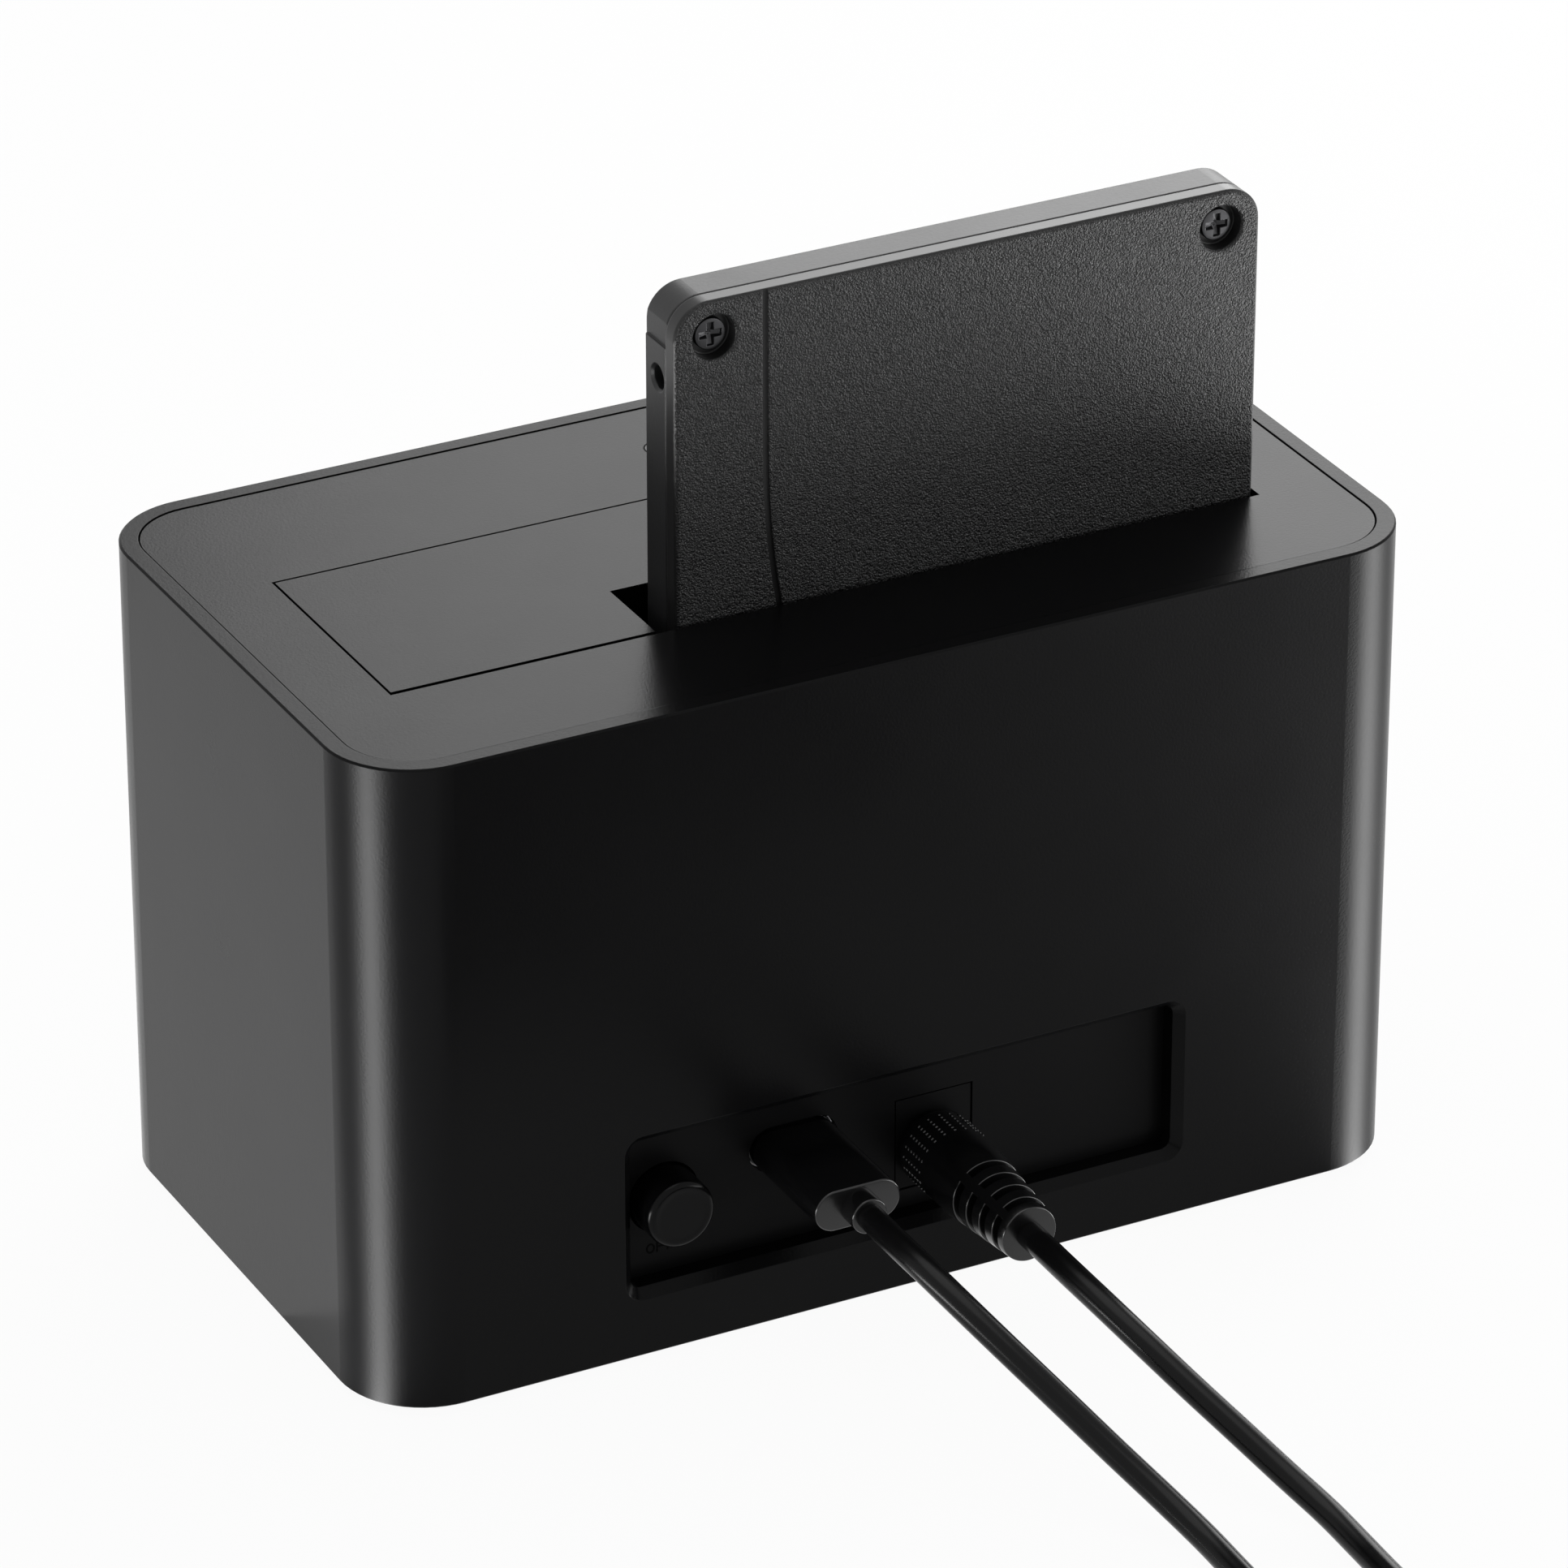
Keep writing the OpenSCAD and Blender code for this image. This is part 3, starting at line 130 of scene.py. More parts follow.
class Graph:
    """A material's or world's node tree, emptied and built anew."""

    def __init__(self, tree: bpy.types.NodeTree) -> None:
        """Empty the tree."""
        self.tree = tree
        tree.nodes.clear()

    def node(self, kind: str, settings: Optional[dict] = None, values: Optional[dict] = None) -> Outputs:
        """Add any node.

        Args:
            kind: Type name of the node.
            settings: Properties of the node, set before its sockets.
            values: Input sockets by number or name, each a value or a link.
        Returns:
            The node's outputs.
        """
        made = self.tree.nodes.new(kind)
        for key, value in (settings or {}).items():
            setattr(made, key, value)
        for key, value in (values or {}).items():
            if isinstance(value, Sock):
                self.tree.links.new(value.socket, made.inputs[key])
            else:
                made.inputs[key].default_value = value
        return Outputs(self, made)

    def mix(self, low: Colour, high: Colour, fac: Sock) -> Sock:
        """Mix two colours.

        Args:
            low: Colour at factor 0.
            high: Colour at factor 1.
            fac: The factor.
        Returns:
            The mixed colour's socket.
        """
        return self.node("ShaderNodeMix", {"data_type": "RGBA"},
                         {0: fac, 6: (*low, 1.0), 7: (*high, 1.0)})[2]

    def layers(self, output: str, fac: Sock, low: Outputs, high: Outputs) -> None:
        """Mix two shaders into the tree's output.

        Args:
            output: Type name of the output node.
            fac: The factor.
            low: The shader at factor 0.
            high: The shader at factor 1.
        """
        both = self.node("ShaderNodeMixShader", {}, {0: fac, 1: low[0], 2: high[0]})
        self.node(output, {}, {"Surface": both[0]})

    def stretched(self, scale: Vec) -> Sock:
        """Object coordinates, scaled."""
        place = self.node("ShaderNodeTexCoord")["Object"]
        return self.node("ShaderNodeMapping", {}, {"Vector": place, "Scale": scale})[0]

    def noise(self, scale: float, detail: float, rough: float = 0.5, at: Optional[Sock] = None) -> Sock:
        """Noise on Object coordinates.

        Args:
            scale: Cells per metre.
            detail: Octaves.
            rough: Share that each octave keeps of the one before.
            at: Coordinates other than the plain ones.
        Returns:
            The noise value's socket, from 0 to 1.
        """
        at = at or self.node("ShaderNodeTexCoord")["Object"]
        return self.node("ShaderNodeTexNoise", {}, {"Vector": at, "Scale": scale, "Detail": detail,
                                                    "Roughness": rough})[0]


def new_material(name: str) -> tuple[bpy.types.Material, Graph]:
    """Make a material with an empty graph.

    Args:
        name: Name of the material.
    Returns:
        The material and its graph.
    """
    made = bpy.data.materials.new(name)
    made.use_nodes = True
    return made, Graph(made.node_tree)


# Finishes

MOTTLE_CELLS = 90.0
MOTTLE_DETAIL = 3.0
STIPPLE_FADE = 0.0002
STIPPLE_STEP = (0.25, 0.75)
BRUSH_STRETCH = (0.06, 1.0, 1.0)
TRACK_STRETCH = (1.0, 0.25, 1.0)
TRACK_STEP = (0.48, 0.52)
EDGE_SAMPLES = 6


class Grain(Enum):
    """The fine surface of a finish."""

    FINE = "spark-eroded moulding"
    LEATHER = "coarse stipple"
    SMOOTH = "polished mould"
    BRUSHED = "drawn metal"
    BOARD = "circuit board"


@dataclass(frozen=True)
class Finish:
    """A material: its colour, gloss and fine surface.

    Attributes:
        name: Name of the material.
        colour: Base colour, linear.
        roughness: Mean roughness.
        specular: Specular level.
        metallic: 1 for metal.
        grain: Kind of fine surface.
        cells: Cells of the grain per metre.
        depth: Height of the grain, in metres.
        tint: Share by which the colour varies, as random tone and as painted shade and highlight.
        pit_shade: Part of that variation that follows the grain's height: painted shade in the grain's low
            spots and painted highlight on its peaks.
        spread: Share by which the roughness varies.
        edge: Radius by which sharp edges shade round, in metres.
        clear: Share of light that goes through.
        from_y: The y past which a stipple starts, in metres.
    """

    name: str
    colour: Colour
    roughness: float
    specular: float = 0.5
    metallic: float = 0.0
    grain: Grain = Grain.FINE
    cells: float = 3000.0
    depth: float = 4e-6
    tint: float = 0.12
    pit_shade: float = 0.4
    spread: float = 0.06
    edge: float = 0.0
    clear: float = 0.0
    from_y: float = 0.0

    def shade(self, share: float) -> Colour:
        """The base colour times a share."""
        red, green, blue = self.colour
        return (red * share, green * share, blue * share)

    def height(self, graph: Graph) -> Sock:
        """Height of the grain.

        Args:
            graph: The material's node graph.
        Returns:
            A value from 0 to about 1.
        """
        if self.grain is Grain.LEATHER:
            place = graph.node("ShaderNodeTexCoord")["Object"]
            along = graph.node("ShaderNodeSeparateXYZ", {}, {0: place})["Y"]
            front = along.step(self.from_y, self.from_y + STIPPLE_FADE)
            bumps = graph.noise(self.cells, 1.0, 0.4)
            return (bumps.step(*STIPPLE_STEP) - 0.5) * front + 0.5
        if self.grain is Grain.BRUSHED:
            return graph.noise(self.cells, 3.0, at=graph.stretched(BRUSH_STRETCH))
        if self.grain is Grain.BOARD:
            return graph.noise(self.cells, 0.0, at=graph.stretched(TRACK_STRETCH)).step(*TRACK_STEP)
        if self.grain is Grain.SMOOTH:
            return graph.noise(self.cells, 1.0)
        return graph.noise(self.cells, 2.0, 0.65)

    def material(self) -> bpy.types.Material:
        """Build the material once.

        Returns:
            The material, made on the first call and found on later ones.
        """
        found = bpy.data.materials.get(self.name)
        if found is not None:
            return found
        made, graph = new_material(self.name)
        height = self.height(graph)
        mottle = graph.noise(MOTTLE_CELLS, MOTTLE_DETAIL)
        # Painted shade and highlight: part of the colour's variation follows the grain's height, darker in
        # its low spots and lighter on its peaks; the rest is random tone.
        share = mottle * (1.0 - self.pit_shade) + height * self.pit_shade
        colour = graph.mix(self.shade(1.0 - self.tint), self.shade(1.0 + self.tint), share)
        rough = (mottle - 0.5) * self.spread + (height - 0.5) * self.spread + self.roughness
        bump = {"Height": height, "Distance": self.depth, "Strength": 1.0}
        if self.edge > 0.0:
            bevel = graph.node("ShaderNodeBevel", {"samples": EDGE_SAMPLES}, {"Radius": self.edge})
            bump["Normal"] = bevel[0]
        shader = graph.node("ShaderNodeBsdfPrincipled", {}, {
            "Base Color": colour, "Roughness": rough.clamped(), "Metallic": self.metallic,
            "Specular IOR Level": self.specular, "Transmission Weight": self.clear,
            "Normal": graph.node("ShaderNodeBump", {}, bump)[0]})
        graph.node("ShaderNodeOutputMaterial", {}, {"Surface": shader[0]})
        return made


HOUSING = Finish("housing_plastic", (0.003, 0.003, 0.0032), 0.25, specular=0.07, cells=3200,
                 depth=1.5e-5, edge=0.00012)
PANEL = Finish("panel_plastic", (0.0026, 0.0026, 0.0028), 0.24, specular=0.08, cells=3200, depth=1.5e-5)
PORTS = Finish("port_plate_plastic", (0.0036, 0.0036, 0.0038), 0.4, specular=0.05, depth=5e-6)
DRIVE = Finish("drive_plastic", (0.010, 0.010, 0.0105), 0.40, specular=0.35, cells=2400, depth=1e-5,
               edge=0.0002)
# The stipple's colour varies strongly with its height: painted shade in its low spots and painted highlight
# on its peaks, on top of the bump.
COVER = Finish("drive_cover_stipple", (0.014, 0.014, 0.0143), 0.28, specular=0.26, grain=Grain.LEATHER,
               cells=5400, depth=8e-5, tint=0.7, pit_shade=0.85, edge=0.0003, from_y=0.0167)
GRIP = Finish("plug_plastic", (0.0022, 0.0022, 0.0024), 0.22, specular=0.45, cells=4200, depth=3e-6)
CORD = Finish("cord_jacket", (0.0035, 0.0035, 0.0037), 0.24, specular=0.14, grain=Grain.SMOOTH, cells=900)
BUTTON = Finish("button_plastic", (0.002, 0.002, 0.0022), 0.2, specular=0.09, cells=3600, depth=3e-6)
ADAPTER = Finish("adapter_plastic", (0.011, 0.011, 0.0115), 0.45, specular=0.3, cells=2600, depth=8e-6,
                 edge=0.0003)
RUBBER = Finish("foot_rubber", (0.014, 0.014, 0.014), 0.7, specular=0.3, cells=2200, depth=1e-5)
STEEL = Finish("plated_steel", (0.62, 0.62, 0.64), 0.28, metallic=1.0, grain=Grain.BRUSHED, cells=6000,
               depth=2e-6)
DARK_STEEL = Finish("blackened_steel", (0.05, 0.05, 0.052), 0.38, metallic=1.0, cells=5000, depth=3e-6,
                    edge=0.0001)
BOARD = Finish("solder_mask", (0.012, 0.075, 0.030), 0.32, grain=Grain.BOARD, cells=260, depth=2e-5,
               tint=0.35)
CHIP = Finish("chip_moulding", (0.011, 0.011, 0.0115), 0.5, specular=0.3, cells=5000)
CONTACT = Finish("gold_contact", (0.83, 0.56, 0.22), 0.25, metallic=1.0, grain=Grain.BRUSHED, cells=6000,
                 depth=1e-6)
CLEAR = Finish("smoked_pipe", (0.02, 0.02, 0.022), 0.3, specular=0.15, grain=Grain.SMOOTH, cells=2000,
               depth=2e-6, clear=0.15)
# Near-black: the printed OFF mark, and painted shade in the gap round the light pipe.
INK_AND_GAP_SHADE = Finish("mark_ink_and_gap_shade", (0.0012, 0.0012, 0.0012), 0.5, specular=0.02, cells=4000, depth=2e-6)

# Every node that isn't named here is a chip's moulding
FINISH_NODES: tuple[tuple[Finish, str], ...] = (
    (HOUSING, "outer_sleeve drive_well base_plate"),
    (PANEL, "top_panel flap"),
    (PORTS, "port_panel dc_jack"),
    (DRIVE, "drive_case"),
    (COVER, "drive_cover"),
    (BUTTON, "power_button"),
    (GRIP, "usb_plug_grip usb_far_grip dc_plug_grip adapter_grommet"),
    (CORD, "usb_cord usb_coil dc_cord dc_coil"),
    (ADAPTER, "adapter_case adapter_lid"),
    (RUBBER, "rubber_feet usb_tie dc_tie"),
    (STEEL, "flap_spring button_spring board_screws crystal usb_socket usb_plug_shell usb_far_shell"),
    (STEEL, "dc_jack_pin dc_plug_barrel adapter_blades"),
    (DARK_STEEL, "flap_pin well_screws base_screws drive_screws inductor capacitors"),
    (BOARD, "main_board port_board light_board drive_board"),
    (CONTACT, "sata_contacts"),
    (CLEAR, "status_light light_pipe"),
)
NODE_FINISH = {name: finish for finish, names in FINISH_NODES for name in names.split()}


# Surfaces on grids

@dataclass
class Patch:
    """Points and faces of one closed piece of a mesh.

    Attributes:
        points: Array of points, n by 3, in metres.
        faces: Arrays of point numbers, one row a face.
    """

    points: Array
    faces: list[Array]

    def outward(self) -> "Patch":
        """Turn the faces outwards.

        The volume is the sum over the faces' fans of each triangle's triple product with the origin over six.
        Returns:
            The patch itself, turned round if that volume was negative.
        """
        volume = 0.0
        for rows in self.faces:
            first = self.points[rows[:, 0]]
            for k in range(1, rows.shape[1] - 1):
                second, third = self.points[rows[:, k]], self.points[rows[:, k + 1]]
                volume += float(np.einsum("ij,ij->", first, np.cross(second, third)))
        if volume < 0.0:
            self.faces = [rows[:, ::-1] for rows in self.faces]
        return self


def grid_patch(points: Array, wrap_rows: bool = False) -> Patch:
    """Make a closed patch from a grid of points, whose last column joins the first.

    Args:
        points: Array of rows by columns by 3.
        wrap_rows: Whether the last row joins the first too; if not, a face closes either end.
    Returns:
        The patch, with its faces outwards.
    """
    rows, cols = points.shape[:2]
    left = np.arange(rows * cols).reshape(rows, cols)
    right = np.roll(left, -1, axis=1)
    if wrap_rows:
        ends = []
        quads = (left, np.roll(left, -1, axis=0), np.roll(right, -1, axis=0), right)
    else:
        ends = [left[:1], left[-1:, ::-1]]
        quads = (left[:-1], left[1:], right[1:], right[:-1])
    faces = [np.stack([q.ravel() for q in quads], axis=1), *ends]
    return Patch(points.reshape(-1, 3), faces).outward()


def make_piece(name: str, patches: Sequence[Patch], finish: Finish, body: str,
               sharp: float = 38.0) -> bpy.types.Object:
    """Put patches into one mesh object that rides on a body.

    Args:
        name: Name of the piece.
        patches: Its closed surfaces.
        finish: Its material.
        body: The CAD body that carries it.
        sharp: Angle in degrees past which an edge stays sharp.
    Returns:
        The object, at the origin.
    """
    starts = np.cumsum([0] + [len(p.points) for p in patches])
    points = np.concatenate([p.points for p in patches])
    groups = [rows + start for p, start in zip(patches, starts) for rows in p.faces]
    totals = np.concatenate([np.full(len(rows), rows.shape[1]) for rows in groups])
    corners = np.concatenate([rows.ravel() for rows in groups])
    mesh = bpy.data.meshes.new(name)
    mesh.vertices.add(len(points))
    mesh.vertices.foreach_set("co", points.astype(np.float32).ravel())
    mesh.loops.add(len(corners))
    mesh.loops.foreach_set("vertex_index", corners.astype(np.int32))
    mesh.polygons.add(len(totals))
    mesh.polygons.foreach_set("loop_start", (np.cumsum(totals) - totals).astype(np.int32))
    mesh.polygons.foreach_set("use_smooth", np.ones(len(totals), bool))
    mesh.update(calc_edges=True)
    mesh.validate()
    mesh.set_sharp_from_angle(angle=math.radians(sharp))
    mesh.materials.append(finish.material())
    piece = bpy.data.objects.new(name, mesh)
    bpy.context.scene.collection.objects.link(piece)
    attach(piece, body)
    LOG.info("piece %s: %d points on %s", name, len(points), body)
    return piece


def circle(count: int) -> Array:
    """Angles of a full turn, the last short of the first by a step."""
    return np.linspace(0.0, 2.0 * np.pi, count, endpoint=False)


def rounded(radius: float, steps: int = 6) -> Array:
    """Quarter round of an end edge.

    Each row is how far back from the end and how far in from the side a station lies: radius times one
    minus the sine, and radius times one minus the cosine, of an angle from 0 to a right angle.
    Args:
        radius: Radius of the edge.
        steps: Number of stations.
    Returns:
        Rows of (back, inset).
    """
    turn = np.linspace(0.0, np.pi / 2.0, steps)
    return np.stack([radius * (1.0 - np.sin(turn)), radius * (1.0 - np.cos(turn))], axis=1)


def revolve_y(profile: Array, centre: Vec, count: int = 96) -> Patch:
    """Revolve a profile about an axis along +Y.

    A point at angle a is (cx + r cos a, y, cz + r sin a) for each profile row (r, y).
    Args:
        profile: Rows of radius and y, from end to end.
        centre: The axis's x and z.
        count: Points round the axis.
    Returns:
        The closed patch.
    """
    angle = circle(count)
    radius, along = profile[:, :1], profile[:, 1:]
    points = np.stack([centre[0] + radius * np.cos(angle), along + 0.0 * angle,
                       centre[1] + radius * np.sin(angle)], axis=-1)
    return grid_patch(points)


def oval_loft(stations: Array, centre: Vec, width: float, height: float, count: int = 96) -> Patch:
    """Carry a flat-sided oval along +Y, drawn in by each station's inset.

    A point at angle a is the end circle's centre on its own side, half of width less height away, plus the
    end radius less the inset times (cos a, sin a).
    Args:
        stations: Rows of y and inset.
        centre: The axis's x and z.
        width: Width of the oval.
        height: Height of the oval.
        count: Points round the oval.
    Returns:
        The closed patch.
    """
    angle = circle(count) + np.pi / count
    side = np.sign(np.cos(angle)) * (width - height) / 2.0
    along, inset = stations[:, :1], stations[:, 1:]
    radius = height / 2.0 - inset
    points = np.stack([centre[0] + side + radius * np.cos(angle), along + 0.0 * angle,
                       centre[1] + radius * np.sin(angle)], axis=-1)
    return grid_patch(points)


def smooth_path(knots: Array, steps: int) -> Array:
    """One smooth curve through knots.

    Each span is a cubic Hermite piece over its chord, and a knot's slope is the mean of the two chords'
    slopes, each weighted by the other chord's length.
    Args:
        knots: Rows of points.
        steps: Points for each span.
    Returns:
        Rows of points along the curve.
    """
    chord = np.diff(knots, axis=0)
    span = np.linalg.norm(chord, axis=1, keepdims=True)
    slope = chord / span
    inner = (slope[:-1] * span[1:] + slope[1:] * span[:-1]) / (span[:-1] + span[1:])
    tangent = np.concatenate([slope[:1], inner, slope[-1:]])
    t = np.linspace(0.0, 1.0, steps, endpoint=False)[None, :, None]
    a, b = knots[:-1, None], knots[1:, None]
    m, n = tangent[:-1, None] * span[:, None], tangent[1:, None] * span[:, None]
    curve = ((2 * t ** 3 - 3 * t ** 2 + 1) * a + (t ** 3 - 2 * t ** 2 + t) * m
             + (3 * t ** 2 - 2 * t ** 3) * b + (t ** 3 - t ** 2) * n)
    return np.concatenate([curve.reshape(-1, 3), knots[-1:]])


def tube_patch(path: Array, radius: float, sides: int = 18) -> Patch:
    """Carry a circle along a path.

    The circle's two axes at a point are the unit cross product of the path's direction with +Z, and that
    axis's cross product with the direction.
    Args:
        path: Rows of points.
        radius: Radius of the tube.
        sides: Points round the tube.
    Returns:
        The closed patch.
    """
    ahead = np.gradient(path, axis=0)
    ahead /= np.linalg.norm(ahead, axis=1, keepdims=True)
    across = np.cross(ahead, (0.0, 0.0, 1.0))
    across /= np.linalg.norm(across, axis=1, keepdims=True)
    upward = np.cross(across, ahead)
    angle = circle(sides)[None, :, None]
    ring = path[:, None] + radius * (np.cos(angle) * across[:, None] + np.sin(angle) * upward[:, None])
    return grid_patch(ring)


# Leads

@dataclass
class Coil:
    """A coil of two layers that spirals in and out again, as it lies on the floor.

    Attributes:
        centre: Middle of the coil, x and y in mm.
        turns: Turns of a layer.
        first: Angle of its first point, in degrees.
        sense: 1 counter-clockwise, -1 clockwise.
        inner: Least radius in mm.
        pitch: Step between turns and between layers in mm.
        floor: Height of the lower layer's middle line in mm.
        steps: Points of a turn.
    """

    centre: tuple[float, float]
    turns: float
    first: float
    sense: int
    inner: float = 11.0
    pitch: float = 3.6
    floor: float = 2.2
    steps: int = 24

    def points(self) -> Array:
        """Points along the coil.

        The radius falls by a pitch a turn to the inner radius, dips by up to an eighth of a pitch through
        half a turn while the height climbs a pitch, and grows again by a pitch a turn.
        Returns:
            Rows of points in mm.
        """
        count = int(self.steps * (2 * self.turns + 0.5)) + 1
        u = np.arange(count) / self.steps
        past = u - self.turns
        radius = np.where(past < 0.0, self.inner - self.pitch * past,
                          np.where(past < 0.5, self.inner - self.pitch * past * (1.0 - 2.0 * past),
                                   self.inner + self.pitch * (past - 0.5)))
        angle = np.radians(self.first) + self.sense * 2.0 * np.pi * u
        height = self.floor + self.pitch * np.clip(2.0 * past, 0.0, 1.0)
        return np.stack([self.centre[0] + radius * np.cos(angle),
                         self.centre[1] + radius * np.sin(angle), height], axis=1)


@dataclass
class Lead:
    """A free cord from its plug to its coil and on to its far end.

    Attributes:
        name: Name of the piece.
        route: Points from the plug to the coil, in mm.
        coil: The coil.
        tail: Points from the coil to the far end, in mm.
        nodes: CAD nodes that the cord stands for.
        fittings: Pieces on the cord, by name; not used.
        tie: Name of the coil's tie.
        diameter: Diameter in mm.
        steps: Points between two of the route's points.
        strap: Thickness of the tie's strap in mm.
        strap_corner: Outer radius at the corners of the strap's loop in mm.
    """

    name: str
    route: list[tuple[float, float, float]]
    coil: Coil
    tail: list[tuple[float, float, float]]
    nodes: tuple[str, ...]
    fittings: tuple[str, ...]
    tie: str
    diameter: float = 3.0
    steps: int = 5
    strap: float = 0.5
    strap_corner: float = 1.6

    def build(self) -> None:
        """Sweep the cord and make its tie."""
        knots = np.concatenate([np.array(self.route), self.coil.points()[1:], np.array(self.tail)]) * MM
        path = smooth_path(knots, self.steps)
        cord = make_piece(self.name, [tube_patch(path, self.diameter * MM / 2.0)], CORD, "dock")
        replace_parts(cord, *self.nodes)
        band = self.tie_band()

    def tie_band(self) -> bpy.types.Object:
        """Make the strap round the coil's turns.

        The loop is a rounded rectangle in y and z, a corner's centre plus its radius times (cos a, sin a).
        The strap's section, an oval with flat sides, is carried round it: half its thickness along the
        loop's outward normal and half its width along x, each times a power of the section's own sine or
        cosine.
        Returns:
            The strap's object.
        """
        corner_steps, section_steps, flat, crown = 9, 20, 0.35, 0.8
        low, high = (np.array(point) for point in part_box(self.tie))
        middle, half = (low + high) / 2.0, (high - low) / 2.0
        thick, corner = self.strap * MM, self.strap_corner * MM
        quarter = np.repeat(np.arange(4) * np.pi / 2.0, corner_steps)[:, None]
        angle = quarter + np.tile(np.linspace(0.0, np.pi / 2.0, corner_steps), 4)[:, None]
        side_y, side_z = np.sign(np.cos(quarter + np.pi / 4.0)), np.sign(np.sin(quarter + np.pi / 4.0))
        wide, high_up = np.cos(circle(section_steps)), np.sin(circle(section_steps))
        across = np.sign(wide) * np.abs(wide) ** flat * half[0]
        out = np.sign(high_up) * np.abs(high_up) ** crown * thick / 2.0
        reach = corner - thick / 2.0 + out
        points = np.stack([
            middle[0] + across + 0.0 * angle,
            middle[1] + side_y * (half[1] - corner) + reach * np.cos(angle),
            middle[2] + side_z * (half[2] - corner) + reach * np.sin(angle)], axis=-1)
        band = make_piece(self.tie + "_strap", [grid_patch(points, wrap_rows=True)], RUBBER, "dock")
        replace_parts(band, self.tie)
        return band


# Plugs and ports

@dataclass
class UsbPlug:
    """Grip of the plug in the USB port: a flat-sided oval with a round collar, in mm."""

    centre: tuple[float, float] = (12.4, 20.4)
    width: float = 10.1
    height: float = 4.8
    start: float = 30.9
    end: float = 46.8
    edge: float = 0.22
    collar_r: float = 2.05
    collar_end: float = 49.5
    collar_edge: float = 0.18
    collar_sunk: float = 0.3

    def build(self) -> bpy.types.Object:
        """Loft the grip and its collar.

        Returns:
            The grip's object.
        """
        back = rounded(self.edge)
        body = np.concatenate([
            [[self.start, 0.0]], np.stack([self.end - back[:, 0], back[:, 1]], axis=1)])
        lip = rounded(self.collar_edge)
        collar = np.concatenate([
            [[self.collar_r, self.end - self.collar_sunk]],
            np.stack([self.collar_r - lip[:, 1], self.collar_end - lip[:, 0]], axis=1)])
        centre = np.array(self.centre) * MM
        piece = make_piece("usb_grip_body", [
            oval_loft(body * MM, centre, self.width * MM, self.height * MM),
            revolve_y(collar * MM, centre, 64)], GRIP, "dock")
        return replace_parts(piece, "usb_plug_grip")


